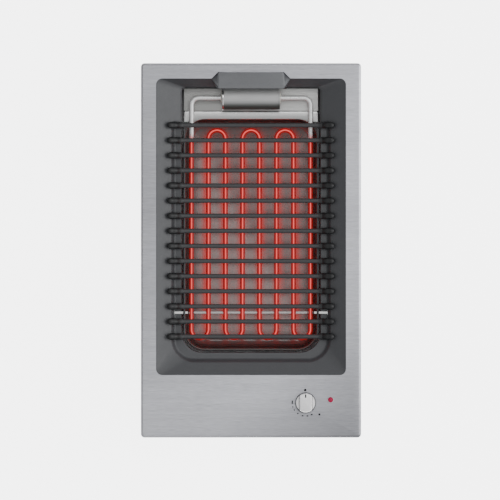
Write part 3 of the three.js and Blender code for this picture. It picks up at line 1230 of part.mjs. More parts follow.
function heaterLead() {
  const bladeX = knobX + BLADE_SPREAD;
  return lead([
    [bladeX, knobY, bladeEndZ],
    [bladeX, knobY, bladeEndZ - LEAD_BEND],
    [knobX + BRACKET_HALF_WIDTH, knobY + 1.5 * LEAD_BEND, leadFloorZ + LEAD_BEND / 2],
    [sideRunX, bayFrontY - LEAD_SWEEP, leadFloorZ + LEAD_BEND / 8],
    [sideRunX, bayFrontY + 2 * LEAD_SWEEP, leadFloorZ],
    [sideRunX, (bayFrontY + bayRearY) / 2, leadFloorZ],
    [sideRunX, pivotY - LEAD_SWEEP, leadFloorZ],
    [sideRunX, pivotY, leadFloorZ + LEAD_BEND],
    [sideRunX - 0.75 * LEAD_BEND, rearRunY - 0.75 * LEAD_BEND, leadEntryZ - LEAD_BEND],
    [leadEntryX + 5 * LEAD_BEND, rearRunY, leadEntryZ],
    [leadEntryX + 1.25 * LEAD_BEND, rearRunY, leadEntryZ],
    [leadEntryX, bayRearY + LEAD_BEND / 4, leadEntryZ],
    [leadEntryX, shelfRearY - LEAD_BEND / 4, leadEntryZ],
    [leadEntryX - LEAD_BEND, pivotY, leadEntryZ],
    [1.5 * LEAD_BEND, pivotY, leadEntryZ],
    [0, pivotY, shelfZ - 1.1 * LEAD_BEND],
    [0, pivotY, shelfZ],
    [0, pivotY, pivotZ + LEAD_RADIUS],
  ]);
}

function regulatorLead() {
  const poleX = blockX + (BLOCK_WIDTH - BLOCK_POLE_GAP) / BLOCK_POLES;
  const bladeX = knobX - BLADE_SPREAD;
  const wireZ = leadFloorZ + 0.6 * LEAD_BEND;
  return lead([
    [poleX, blockWireY, wireZ],
    [poleX + LEAD_BEND / 8, blockWireY + LEAD_BEND, wireZ],
    [poleX + 4 * LEAD_BEND, blockWireY + 2 * LEAD_BEND, leadFloorZ],
    [knobX - 5.5 * LEAD_BEND, blockWireY + 2 * LEAD_BEND, leadFloorZ],
    [bladeX - 0.6 * LEAD_BEND, knobY + 0.75 * LEAD_BEND, leadFloorZ + 1.5 * LEAD_BEND],
    [bladeX, knobY, bladeEndZ - 1.5 * LEAD_BEND],
    [bladeX, knobY, bladeEndZ],
  ]);
}

// The assembly
const grill = new THREE.Group();

function place(name, geometry, material, position = [0, 0, 0], rotation = [0, 0, 0]) {
  const mesh = new THREE.Mesh(geometry, material);
  mesh.name = name;
  mesh.position.set(...position);
  mesh.rotation.set(...rotation);
  grill.add(mesh);
}

place("worktop_plate", worktopPlate(), brushedSteel);
place("rim_seal", rimSeal(), greyFoam);
place("well_surround", wellSurround(), darkEnamel);
place("well_hood", wellHood(), darkEnamel);
place("outer_casing", outerCasing(), zincSheet);
place("pan_bay", panBay(), aluminisedSheet);
for (const [side, name] of [[-1, "left"], [1, "right"]]) {
  place(`bay_rail_${name}`, bayRail(), zincSheet, [side * railX, (bayFrontY + bayRearY) / 2, 0]);
}
place("heat_shield", heatShield(), zincSheet);
place("rear_shelf", rearShelf(), satinSteel);
place("housing_saddle", housingSaddle(), satinSteel);
place("terminal_housing", terminalHousing(), satinSteel);
place("housing_cap_left", cheekedCap(), polishedSteel);
place("housing_cap_right", housingCap(1, HOUSING_RADIUS), satinSteel);
place("pivot_bush_left", pivotBush(-1), ceramic);
place("pivot_bush_right", pivotBush(1), ceramic);
place("drip_pan", dripPan(), polishedSteel);
place("heating_element", heatingElement(), glowingSheath);
place("terminal_insulator_left", terminalInsulator(-1), ceramic);
place("terminal_insulator_right", terminalInsulator(1), ceramic);
place("terminal_pin_left", terminalPin(-1), zincScrew);
place("terminal_pin_right", terminalPin(1), zincScrew);
place("heater_support_bar", supportBar(), polishedSteel);
place("cooking_grate", cookingGrate(), grateEnamel);
place("control_knob", controlKnob(), satinKnob);
place("knob_shaft", knobShaft(), zincScrew);
place("knob_seal", knobSeal(), blackRubber);
place("regulator_bracket", regulatorBracket(), zincSheet);
place("energy_regulator", energyRegulator(), bakelite);
place("regulator_nut", hexNut(REGULATOR_NUT_FLATS, REGULATOR_NUT_HEIGHT, REGULATOR_BUSH_RADIUS + SEAT),
  zincScrew,
  [knobX, knobY, bracketWebZ + SEAT + REGULATOR_NUT_HEIGHT / 2]);
place("pilot_lamp_holder", lampHolder(), blackNylon);
place("pilot_lamp_lens", lampLens(), redLens);
place("thermal_cutout", thermalCutout(), bakelite);
place("mains_terminal_block", mainsTerminalBlock(), whiteNylon);
place("cable_inlet", cableInlet(), blackNylon);
place("inlet_nut", inletNut(), blackNylon);
place("heater_lead", heaterLead(), siliconeSleeve);
place("regulator_lead", regulatorLead(), siliconeSleeve);
studPlaces.forEach(([x, y], at) => {
  place(`surround_nut_${at + 1}`, hexNut(NUT_FLATS, NUT_HEIGHT, STUD_RADIUS + SEAT), zincScrew,
    [x, y, flangeTopZ - SURROUND_GAUGE - SEAT - NUT_HEIGHT / 2], [0, 0, Math.PI / 6]);
});
tabPlaces.forEach(([side, y], at) => {
  place(`casing_screw_${at + 1}`, panHeadScrew(SCREW_LENGTH), zincScrew,
    [side * (casingHalfWidth + SEAT), y, plateUnderZ - TAB_SCREW_DROP], [0, side * Math.PI / 2, 0]);
});
clipPlaces.forEach(([side, y], at) => {
  place(`worktop_clip_${at + 1}`, springClip(side), springSteel, [0, y, 0]);
  place(`clip_screw_${at + 1}`, panHeadScrew(SCREW_LENGTH), zincScrew,
    [side * (casingHalfWidth + CLIP_GAUGE + 2 * SEAT), y, CLIP_BASE_Z + CLIP_SCREW_RISE],
      [0, side * Math.PI / 2, 0]);
});

export default grill;
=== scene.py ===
"""A built-in electric barbecue grill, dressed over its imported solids.

Shapes are worked out in millimetres as numpy grids and put into metres when a mesh is made.
X runs to the right of somebody at the knob, Y to the back and Z up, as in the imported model.
"""

from __future__ import annotations

import logging
import math
from dataclasses import dataclass, field
from enum import Enum
from typing import Protocol

import bmesh
import bpy
import numpy as np
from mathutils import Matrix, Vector

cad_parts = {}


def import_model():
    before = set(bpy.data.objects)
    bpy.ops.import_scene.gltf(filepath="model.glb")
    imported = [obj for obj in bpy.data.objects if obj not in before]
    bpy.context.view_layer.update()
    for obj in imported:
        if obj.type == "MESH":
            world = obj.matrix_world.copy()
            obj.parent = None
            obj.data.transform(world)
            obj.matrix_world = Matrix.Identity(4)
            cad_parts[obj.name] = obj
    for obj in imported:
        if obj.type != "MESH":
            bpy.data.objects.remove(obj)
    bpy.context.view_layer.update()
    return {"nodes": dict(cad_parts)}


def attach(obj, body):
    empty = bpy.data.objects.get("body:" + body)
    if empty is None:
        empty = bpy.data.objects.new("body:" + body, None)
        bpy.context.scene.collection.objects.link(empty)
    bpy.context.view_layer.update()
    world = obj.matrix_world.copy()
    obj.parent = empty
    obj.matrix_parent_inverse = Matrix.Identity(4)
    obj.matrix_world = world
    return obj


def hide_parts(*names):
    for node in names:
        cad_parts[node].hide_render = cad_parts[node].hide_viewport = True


LOG = logging.getLogger("barbecue_grill")
MM = 0.001
MARKS_DULL = 0.18  # roughness that a fully marked place gains
BUMP_DISTANCE = 0.0001  # metres
Pair = tuple[float, float]
Rgb = tuple[float, float, float]
Socket = bpy.types.NodeSocket
Sockets = bpy.types.bpy_prop_collection
Value = float | Rgb | Socket


class Body(Enum):
    """The rigid bodies that pieces ride on."""

    UNIT = "unit"
    GRATE = "grate"
    HEATER = "heater"
    PAN = "pan"
    KNOB = "knob"


class Grain(Enum):
    """How a finish is textured: the stretch of its noise along X, Y and Z."""

    ALONG_X = (0.03, 1.0, 1.0)
    ALONG_Y = (1.0, 0.03, 1.0)
    EVEN = (1.0, 1.0, 1.0)


@dataclass(frozen=True)
class Layout:
    """Places that several sub-assemblies share, in millimetres."""

    plate_top: float = 101.1
    flange_top: float = 99.6
    ledge: float = 83.1
    well_half: float = 129.0
    well_front: float = -169.5
    well_rear: float = 233.8
    opening_half: float = 94.4
    opening_front: float = -139.2
    opening_rear: float = 222.4
    pivot_y: float = 208.2
    pivot_z: float = 73.1
    pan_rim: float = 53.1
    knob: Pair = (74.3, -207.4)

    @property
    def side_slope(self) -> float:
        """Rise of the side slopes per millimetre outwards."""
        return (self.flange_top - self.ledge) / (self.well_half - self.opening_half)


LAYOUT = Layout()
NODES: dict[str, bpy.types.Object] = {}


# Grids and meshes


def ease(value: np.ndarray) -> np.ndarray:
    """Go from 0 to 1 along half a cosine, flat at both ends: (1 - cos(pi v)) / 2."""
    return (1 - np.cos(np.pi * np.clip(value, 0, 1))) / 2


def lift(rings: np.ndarray, heights: np.ndarray) -> np.ndarray:
    """Give each flat ring its own height."""
    level = np.broadcast_to(heights[:, None, None], (*rings.shape[:2], 1))
    return np.concatenate([rings, level], axis=-1)


def grid_faces(rows: int, columns: int) -> np.ndarray:
    """Quads between the neighbouring rows of a grid whose last column joins the first.

    Args:
        rows: number of rows.
        columns: points in each row.

    Returns:
        An array of four point numbers a face.
    """
    row = np.arange(rows - 1)[:, None] * columns
    column = np.arange(columns)[None, :]
    after = (column + 1) % columns
    corners = [row + column, row + after, row + columns + after, row + columns + column]
    return np.stack(corners, axis=-1).reshape(-1, 4)


@dataclass
class Shell:
    """Points and faces that gather into one mesh."""

    points: list[np.ndarray] = field(default_factory=list)
    faces: list[list[int]] = field(default_factory=list)
    count: int = 0

    def add(self, points: np.ndarray, faces: list[list[int]]) -> Shell:
        """Add points and the faces between them.

        Args:
            points: an array whose last axis is X, Y and Z.
            faces: point numbers, counted from the first of these points.

        Returns:
            This shell.
        """
        self.points.append(points.reshape(-1, 3))
        self.faces.extend([[index + self.count for index in face] for face in faces])
        self.count += points.size // 3
        return self

    def add_loft(self, rings: np.ndarray, open_start: bool = False) -> Shell:
        """Add a skin through closed rings of points, with a face across each end.

        Args:
            rings: an array of rings by points by three.
            open_start: whether the first ring stays open.

        Returns:
            This shell.
        """
        rows, columns = rings.shape[:2]
        faces = grid_faces(rows, columns).tolist()
        if not open_start:
            faces.append(list(range(columns))[::-1])
        faces.append(list(range((rows - 1) * columns, rows * columns)))
        return self.add(rings, faces)

    def add_copies(self, rings: np.ndarray, offsets: np.ndarray) -> None:
        """Add one closed loft again at each of several offsets."""
        for offset in offsets:
            self.add_loft(rings + offset)

    def add_prism(self, outline: np.ndarray, low: float, high: float) -> Shell:
        """Add a flat outline carried up from one height to another."""
        return self.add_loft(lift(np.stack([outline, outline]), np.array([low, high])))

    def mesh(self, name: str) -> bpy.types.Mesh:
        """Make a mesh in metres with its doubles merged and its faces turned outwards.

        Args:
            name: the mesh's name.

        Returns:
            The new mesh.
        """
        mesh = bpy.data.meshes.new(name)
        mesh.from_pydata((np.concatenate(self.points) * MM).tolist(), [], self.faces)
        tidy = bmesh.new()
        tidy.from_mesh(mesh)
        bmesh.ops.remove_doubles(tidy, verts=tidy.verts, dist=1e-6)
        bmesh.ops.recalc_face_normals(tidy, faces=tidy.faces)
        tidy.to_mesh(mesh)
        tidy.free()
        return mesh


def tube(path: np.ndarray, radii: np.ndarray, normal: np.ndarray, sides: int) -> np.ndarray:
    """Carry a circle along a path that lies in one plane.

    At each station the circle stands square to the mean of the two unit steps that meet there:
    point = station + radius (cos a * across + sin a * normal), with across = normal x tangent.

    Args:
        path: stations by three.
        radii: one radius a station.
        normal: unit vector square to the plane.
        sides: points round the circle.

    Returns:
        Stations by sides by three.
    """
    steps = np.diff(path, axis=0)
    steps /= np.linalg.norm(steps, axis=1, keepdims=True)
    tangent = np.concatenate([steps[:1], steps[:-1] + steps[1:], steps[-1:]])
    across = np.cross(normal, tangent)
    across /= np.linalg.norm(across, axis=1, keepdims=True)
    angle = np.linspace(0, 2 * np.pi, sides, endpoint=False)[None, :, None]
    spread = np.cos(angle) * across[:, None, :] + np.sin(angle) * normal[None, None, :]
    return path[:, None, :] + radii[:, None, None] * spread


def revolve(profile: np.ndarray, centre: Pair, sides: int) -> np.ndarray:
    """Turn a profile of radius and height about an upright axis.

    Args:
        profile: points of radius and height.
        centre: X and Y of the axis.
        sides: points round the axis.

    Returns:
        Profile points by sides by three.
    """
    angle = np.linspace(0, 2 * np.pi, sides, endpoint=False)[None, :]
    radius = profile[:, :1]
    x, y = centre[0] + radius * np.cos(angle), centre[1] + radius * np.sin(angle)
    return lift(np.stack([x, y], axis=-1), profile[:, 1])


def arc(centre: Pair, radius: float, start: float, end: float, steps: int) -> np.ndarray:
    """Points on an arc from one angle in degrees to another."""
    angle = np.radians(np.linspace(start, end, steps))
    return np.column_stack([centre[0] + radius * np.cos(angle), centre[1] + radius * np.sin(angle)])


@dataclass(frozen=True)
class Outline:
    """A rectangle in plan with one radius on its front corners and one on its rear corners."""

    half: float
    front: float
    rear: float
    front_radius: float
    rear_radius: float
    corner_steps: int
    side_steps: int
    least_radius: float = 0.4

    @property
    def block(self) -> int:
        """Points of one corner and the side that follows it."""
        return self.corner_steps + self.side_steps

    def rings(self, inset: np.ndarray) -> np.ndarray:
        """The outline moved inwards by each of several insets.

        A corner point is its centre plus radius (cos a, sin a); the sides are straight between
        corners. An inset takes the same length off both halves and off the radius. The order
        is rear right corner, rear side, then on round by the left.

        Args:
            inset: how far each ring lies inside the outline; outside it where negative.

        Returns:
            Rings by points by two, with the same number of points in every ring.
        """
        inset = np.atleast_1d(inset)[:, None, None]
        quarter = np.arange(4)[None, :, None]
        turn = np.linspace(0, 1, self.corner_steps)[None, None, :]
        angle = (quarter + turn) * np.pi / 2
        radius = np.where(quarter < 2, self.rear_radius, self.front_radius)
        radius = np.maximum(radius - inset, self.least_radius)
        side_x = np.where((quarter == 0) | (quarter == 3), 1, -1)
        base_y = np.where(quarter < 2, self.rear - inset - radius, self.front + inset + radius)
        x = side_x * (self.half - inset - radius) + radius * np.cos(angle)
        corners = np.stack([x, base_y + radius * np.sin(angle)], axis=-1)
        along = (np.arange(1, self.side_steps + 1) / (self.side_steps + 1))[None, None, :, None]
        start, end = corners[:, :, -1:, :], np.roll(corners, -1, axis=1)[:, :, :1, :]
        loops = np.concatenate([corners, start + (end - start) * along], axis=2)
        return loops.reshape(loops.shape[0], -1, 2)


# Finishes


@dataclass(frozen=True)
class Wiring:
    """Adds shader nodes to one tree. A value is a number, a triple or another node's output."""

    tree: bpy.types.NodeTree

    def feed(self, target: Socket, value: Value) -> None:
        """Link an output to an input, or set the input's own value.

        Args:
            target: the input.
            value: what it gets; a colour is given without its alpha.
        """
        if isinstance(value, Socket):
            self.tree.links.new(value, target)
        else:
            target.default_value = (*value, 1) if target.type == "RGBA" else value

    def add(
        self, kind: str, inputs: dict[str | int, Value], **settings: str | bool | bpy.types.NodeTree
    ) -> bpy.types.Node:
        """Add a node.

        Args:
            kind: its type, without the word that every shader node's type starts with.
            inputs: the name or number of an input, to its value.
            settings: the node's own properties, set before its inputs.

        Returns:
            The new node.
        """
        node = self.tree.nodes.new(f"ShaderNode{kind}")
        for label, setting in settings.items():
            setattr(node, label, setting)
        for label, value in inputs.items():
            self.feed(node.inputs[label], value)
        return node

    def calc(self, operation: str, *values: Value, clamp: bool = False) -> Socket:
        """One step of arithmetic on up to three numbers."""
        node = self.add("Math", dict(enumerate(values)), operation=operation, use_clamp=clamp)
        return node.outputs[0]

    def beyond(self, value: Value, level: float) -> Socket:
        """1 where a length passes a level in millimetres, and 0 elsewhere."""
        return self.calc("GREATER_THAN", value, level * MM)

    def vector(self, operation: str, first: Value, second: Value) -> bpy.types.Node:
        """One step of arithmetic on two vectors."""
        return self.add("VectorMath", {0: first, 1: second}, operation=operation)

    def axes(self, vector: Value) -> Sockets:
        """A vector's X, Y and Z, by name."""
        return self.add("SeparateXYZ", {0: vector}).outputs

    def noise(self, vector: Value, scale: Value, detail: float, distortion: float = 0) -> Socket:
        """Smooth noise about one half."""
        inputs = {"Vector": vector, "Scale": scale, "Detail": detail, "Distortion": distortion}
        return self.add("TexNoise", inputs).outputs["Fac"]

    def ramp(
        self,
        value: Value,
        start: float,
        end: float,
        low: float = 0.0,
        high: float = 1.0,
        shape: str = "LINEAR",
    ) -> Socket:
        """Go from one number to another while a value goes from start to end."""
        inputs = {"Value": value, "From Min": start, "From Max": end, "To Min": low, "To Max": high}
        return self.add("MapRange", inputs, interpolation_type=shape).outputs[0]

    def rise(self, value: Value, start: float, end: float, shape: str = "LINEAR") -> Socket:
        """Go from 0 to 1 between two places in millimetres."""
        return self.ramp(value, start * MM, end * MM, shape=shape)

    def mix(self, share: Value, first: Value, second: Value, blend: str = "MIX") -> Socket:
        """Go from one colour to another by a share."""
        inputs = {"Factor": share, "A": first, "B": second}
        return self.add("Mix", inputs, data_type="RGBA", blend_type=blend).outputs["Result"]

    def group(self, tree: bpy.types.NodeTree, inputs: dict[str, Value]) -> Sockets:
        """Place a node group and give back its outputs."""
        return self.add("Group", inputs, node_tree=tree).outputs


@dataclass(frozen=True)
class Painted(Wiring):
    """The wiring of a material, with its object coordinates and its tinted colour."""

    place: Socket
    tint: Socket


Given = tuple[Wiring, Sockets, Sockets]


def new_group(name: str, inputs: dict[str, float | None], outputs: tuple[str, ...]) -> Given:
    """Make an empty shader group with named sockets.

    Args:
        name: the group's name.
        inputs: each input's default, or None for a vector.
        outputs: the names of its outputs, which are numbers.

    Returns:
        The group's wiring, what its inputs give, and what its outputs take.
    """
    tree = bpy.data.node_groups.new(name, "ShaderNodeTree")
    for label, default in inputs.items():
        kind = "NodeSocketVector" if default is None else "NodeSocketFloat"
        socket = tree.interface.new_socket(label, in_out="INPUT", socket_type=kind)
        if default is not None:
            socket.default_value = default
    for label in outputs:
        tree.interface.new_socket(label, in_out="OUTPUT", socket_type="NodeSocketFloat")
    given = tree.nodes.new("NodeGroupInput").outputs
    return Wiring(tree), given, tree.nodes.new("NodeGroupOutput").inputs


def grain_group() -> bpy.types.NodeTree:
    """Fine texture of a surface: a noise that is stretched along the working direction.

    Returns:
        A group that puts out a tone about one half and a height for a bump.
    """
    known = bpy.data.node_groups.get("surface_grain")
    if known:
        return known
    net, given, taken = new_group(
        "surface_grain", {"Vector": None, "Stretch": None, "Scale": 900}, ("Tone", "Height")
    )
    broader, broad_share, dark_until, light_from = 7, 0.35, 0.45, 0.9
    fine_detail, broad_detail = 3, 2
    place = net.vector("MULTIPLY", given["Vector"], given["Stretch"]).outputs[0]
    fine = net.noise(place, given["Scale"], fine_detail)
    broad = net.noise(place, net.calc("DIVIDE", given["Scale"], broader), broad_detail)
    both = net.calc("MULTIPLY_ADD", broad, broad_share, fine)
    net.feed(taken["Tone"], net.ramp(both, dark_until, light_from))
    net.feed(taken["Height"], fine)
    return net.tree


def handling_group() -> bpy.types.NodeTree:
    """Faint marks of wiping and handling: broad noise cut to soft patches.

    Returns:
        A group that puts out a mask from 0, clean, to 1, marked.
    """
    known = bpy.data.node_groups.get("handling_marks")
    if known:
        return known
    net, given, taken = new_group(
        "handling_marks", {"Vector": None, "Scale": 14, "Amount": 0.4}, ("Mask",)
    )
    detail, distortion, clean_until, marked_from = 5, 0.6, 0.48, 0.72
    noise = net.noise(given["Vector"], given["Scale"], detail, distortion)
    patches = net.ramp(noise, clean_until, marked_from)
    net.feed(taken["Mask"], net.calc("MULTIPLY", patches, given["Amount"]))
    return net.tree


@dataclass(frozen=True)
class Finish:
    """One finish: its colours, gloss and texture."""

    name: str
    colour: Rgb
    shade: Rgb
    roughness: float
    metallic: float = 0.0
    grain: Grain = Grain.EVEN
    grain_scale: float = 900.0
    grain_depth: float = 0.1
    roughness_span: float = 0.1
    handling: float = 0.25
    specular: float = 0.5

    def material(self) -> bpy.types.Material:
        """Make the material, or give back the one made before."""
        return bpy.data.materials.get(self.name) or self.build()

    def build(self) -> bpy.types.Material:
        """Build the nodes: grain tints the colour and the gloss, and handling dulls it.

        Returns:
            The new material.
        """
        material = bpy.data.materials.new(self.name)
        material.use_nodes = True
        net = Wiring(material.node_tree)
        place = net.add("TexCoord", {}).outputs["Object"]
        texture = {"Vector": place, "Stretch": self.grain.value, "Scale": self.grain_scale}
        grain = net.group(grain_group(), texture)
        marks = net.group(handling_group(), {"Vector": place, "Amount": self.handling})
        tint = net.mix(grain["Tone"], self.shade, self.colour)
        span = self.roughness_span / 2
        gloss = net.ramp(grain["Tone"], 0, 1, self.roughness + span, self.roughness - span)
        depth = {
            "Strength": self.grain_depth, "Distance": BUMP_DISTANCE, "Height": grain["Height"],
        }
        plain = {
            "Base Color": tint,
            "Metallic": self.metallic,
            "Roughness": net.calc("MULTIPLY_ADD", marks["Mask"], MARKS_DULL, gloss, clamp=True),
            "Normal": net.add("Bump", depth).outputs[0],
            "Specular IOR Level": self.specular,
        }
        surface = material.node_tree.nodes["Principled BSDF"]
        for label, value in (plain | self.dress(Painted(net.tree, place, tint))).items():
            net.feed(surface.inputs[label], value)
        return material

    def dress(self, net: Painted) -> dict[str, Value]:
        """What one finish alone feeds to its shader; a plain finish feeds nothing more."""
        return {}


@dataclass(frozen=True)
class GlowingSheath(Finish):
    """The heater's tube: bright metal where it is cold, glowing between the cold ends."""

    glow: Rgb = (0.07, 0.002, 0.0018)
    glow_below: Rgb = (1.8, 0.050, 0.040)
    # painted highlight: a pale band of emission along the top of the tube
    painted_highlight: Rgb = (0.62, 0.066, 0.058)
    strength: float = 2.4
    below: Pair = (-1.2, -3.1)
    crest: Pair = (3.05, 3.25)
    bare: Rgb = (0.86, 0.86, 0.85)
    bare_metal: float = 0.45
    hot_y: float = 149.0
    cold_y: float = 160.0
    turns_y: float = 185.0
    outer_leg: float = 70.0

    def dress(self, net: Painted) -> dict[str, Value]:
        """Mix cold metal with the glow.

        The outer legs run cold behind hot_y: cold = step(|x| - outer_leg) * ramp(y), or 1 where
        y lies behind the turns. The glow is brightest under the tube; its pale crest is a painted
        highlight.

        Args:
            net: the material's wiring.

        Returns:
            Colour, metal and glow.
        """
        axes = net.axes(net.place)
        outer = net.beyond(net.calc("ABSOLUTE", axes["X"]), self.outer_leg)
        cold_leg = net.calc("MULTIPLY", outer, net.rise(axes["Y"], self.hot_y, self.cold_y))
        cold = net.calc("MAXIMUM", cold_leg, net.beyond(axes["Y"], self.turns_y))
        middle = LAYOUT.pivot_z
        below, crest = (
            net.rise(axes["Z"], middle + start, middle + end)
            for start, end in (self.below, self.crest)
        )
        heat = net.mix(crest, net.mix(below, self.glow, self.glow_below), self.painted_highlight)
        return {
            "Base Color": net.mix(cold, net.tint, self.bare),
            "Metallic": net.calc("MULTIPLY", cold, self.bare_metal),
            "Emission Color": net.mix(cold, heat, (0.0, 0.0, 0.0)),
            "Emission Strength": self.strength,
        }


@dataclass(frozen=True)
class DrawnPan(Finish):
    """The pan's steel: painted highlight on the rear flange, painted shade on the walls, and a warm
    floor tint that is a painted reflection of the heater.
    """

    # painted highlight on the rear flange
    rim: Rgb = (0.47, 0.47, 0.465)
    # painted shade on the walls, which also lose some of their metal
    wall: Rgb = (0.072, 0.086, 0.083)
    shaded_wall_metal: float = 0.25
    rim_z: float = 52.95
    rear_y: float = 176.0
    middle_y: float = 22.5
    up: Pair = (22.5, 30.0)
    across: Pair = (68.0, 84.0)
    along: Pair = (124.0, 148.0)

    def dress(self, net: Painted) -> dict[str, Value]:
        """Paint shade on the walls and a highlight on the rear flange.

        wall = max(ramp(z), ramp(|x|), ramp(|y - middle|)) and rim = step(z) * step(y): the
        floor's tint gives way to painted shade towards the fillet, then to the painted flange
        highlight.

        Args:
            net: the material's wiring.

        Returns:
            Colour and metal.
        """
        axes = net.axes(net.place)
        off_middle = net.calc("SUBTRACT", axes["Y"], self.middle_y * MM)
        up, across, along = (
            net.rise(value, *span, "SMOOTHSTEP")
            for value, span in (
                (axes["Z"], self.up),
                (net.calc("ABSOLUTE", axes["X"]), self.across),
                (net.calc("ABSOLUTE", off_middle), self.along),
            )
        )
        wall = net.calc("MAXIMUM", net.calc("MAXIMUM", up, across), along)
        at_rear = net.beyond(axes["Y"], self.rear_y)
        flange = net.calc("MULTIPLY", net.beyond(axes["Z"], self.rim_z), at_rear)
        bare = net.ramp(wall, 0, 1, 1, self.shaded_wall_metal)
        return {
            "Base Color": net.mix(flange, net.mix(wall, net.tint, self.wall), self.rim),
            "Metallic": net.calc("MAXIMUM", bare, flange),
        }


@dataclass(frozen=True)
class TwoTone(Finish):
    """A finish that gives way to a second tone along one axis, on some pieces as painted shade."""

    axis: str = "X"
    folded: bool = True
    second: Rgb = (0.46, 0.44, 0.43)
    second_until: float = 85.0
    first_from: float = 88.0
    dulls: bool = False

    def dress(self, net: Painted) -> dict[str, Value]:
        """Mix the tones: share = ramp(v, second_until, first_from), with |v| where folded.

        Args:
            net: the material's wiring.

        Returns:
            Colour, and metal where the second tone is dull.
        """
        value = net.axes(net.place)[self.axis]
        if self.folded:
            value = net.calc("ABSOLUTE", value)
        share = net.rise(value, self.second_until, self.first_from, "SMOOTHSTEP")
        own = {"Base Color": net.mix(share, self.second, net.tint)}
        if self.dulls:
            own["Metallic"] = net.calc("MULTIPLY", share, self.metallic)
        return own


@dataclass(frozen=True)
class KnobMetal(Finish):
    """Satin metal with painted shade in two bands beside the grip and in a ring round the base."""

    # colour of the painted shade beside the grip and round the base
    gap: Rgb = (0.035, 0.035, 0.04)
    near: Pair = (8.25, 8.35)
    far: Pair = (9.4, 8.9)
    edge: Pair = (12.6, 13.1)

    def dress(self, net: Painted) -> dict[str, Value]:
        """Paint shade in two bands beside the grip and in one ring round the base.

        dark = max(rise(|x - cx|) * fall(|x - cx|), ramp(distance to the knob's axis)).

        Args:
            net: the material's wiring.

        Returns:
            Colour and metal.
        """
        x, y = LAYOUT.knob[0] * MM, LAYOUT.knob[1] * MM
        level = net.vector("MULTIPLY", net.place, (1, 1, 0)).outputs[0]
        away = net.vector("DISTANCE", level, (x, y, 0)).outputs["Value"]
        off_axis = net.calc("SUBTRACT", net.axes(net.place)["X"], x)
        beside = net.calc("ABSOLUTE", off_axis)
        painted_grip_shade = net.calc("MULTIPLY", net.rise(beside, *self.near), net.rise(beside, *self.far))
        dark = net.calc("MAXIMUM", painted_grip_shade, net.rise(away, *self.edge))
        return {
            "Base Color": net.mix(dark, net.tint, self.gap),
            "Metallic": net.ramp(dark, 0, 1, self.metallic, 0),
        }


@dataclass(frozen=True)
class CloudedPlate(Finish):
    """Brushed plate whose brushing runs in broad lighter and darker sweeps, with painted sheen and
    shade along its diagonals.
    """

    sweep: float = 0.3
    stretch: tuple[float, ...] = (0.35, 1.0, 1.0)
    scale: float = 6.0
    detail: float = 4.0
    clouds: Pair = (0.3, 0.7)
    # painted light: lighter towards the front left, darker towards the rear right
    painted_light_rearwards: tuple[float, ...] = (-0.1, 0.245, 1.15, 0.77)  # y - x in metres, then shares
    # painted shade: darker towards the front right corner
    painted_shade_rightwards: tuple[float, ...] = (0.2, 0.39, 1.0, 0.45)  # x - y in metres, then shares

    def dress(self, net: Painted) -> dict[str, Value]:
        """Lighten and darken the tint by a wide noise, and paint sheen and shade along both
        diagonals.

        share = (1 +- sweep / 2) * ramp(y - x, rearwards) * ramp(x - y, rightwards).

        Args:
            net: the material's wiring.

        Returns:
            The colour.
        """
        stretched = net.vector("MULTIPLY", net.place, self.stretch).outputs[0]
        noise = net.noise(stretched, self.scale, self.detail)
        share = net.ramp(noise, *self.clouds, 1 - self.sweep / 2, 1 + self.sweep / 2)
        axes = net.axes(net.place)
        for more, less, span in (("Y", "X", self.painted_light_rearwards), ("X", "Y", self.painted_shade_rightwards)):
            lean = net.calc("SUBTRACT", axes[more], axes[less])
            share = net.calc("MULTIPLY", share, net.ramp(lean, *span))
        return {"Base Color": net.mix(1.0, net.tint, share, "MULTIPLY")}


@dataclass(frozen=True)
class Lit(Finish):
    """A surface that gives off light of its own."""

    light: Rgb = (1.0, 1.0, 1.0)
    strength: float = 1.0

    def dress(self, net: Painted) -> dict[str, Value]:
        """Give the surface its light."""
        return {"Emission Color": self.light, "Emission Strength": self.strength}


# In order: name, colour, shade, roughness, metallic, then the grain with its scale and depth, the
# span of the roughness, handling and specular level.
# painted sheen and shade along the plate's diagonals, besides its random clouds
BRUSHED_PLATE = CloudedPlate(
    "brushed_plate", (0.58, 0.582, 0.615), (0.39, 0.392, 0.42),
    0.36, 1.0, Grain.ALONG_X, 2600, 0.2, 0.16,
)
BRIGHT_STEEL = Finish(
    "bright_steel", (0.78, 0.78, 0.77), (0.66, 0.66, 0.65),
    0.2, 1.0, Grain.ALONG_Y, 1500, 0.06, 0.08,
)
# warm floor tint: steel grey with a painted reflection of the heater's glow
PAN_STEEL = DrawnPan(
    "pan_steel", (0.232, 0.210, 0.202), (0.194, 0.176, 0.169),
    0.205, 1.0, Grain.ALONG_Y, 1400, 0.04, 0.05, 0.12,
)
PAN_OUTSIDE = Finish(
    "pan_outside", (0.46, 0.46, 0.455), (0.38, 0.38, 0.375),
    0.34, 1.0, Grain.ALONG_Y, 1400, 0.06, 0.1, 0.5,
)
# painted shade: the shelf is darker towards its left, lighter towards its right
SHELF_STEEL = TwoTone(
    "shelf_steel", (0.50, 0.50, 0.49), (0.42, 0.42, 0.41),
    0.3, 1.0, Grain.ALONG_X, 1700, 0.08,
    folded=False, second=(0.27, 0.27, 0.262), second_until=-60.0,
)
SATIN_STEEL = Finish(
    "satin_steel", (0.41, 0.41, 0.405), (0.33, 0.33, 0.325), 0.3, 1.0, Grain.ALONG_X, 1700, 0.08
)
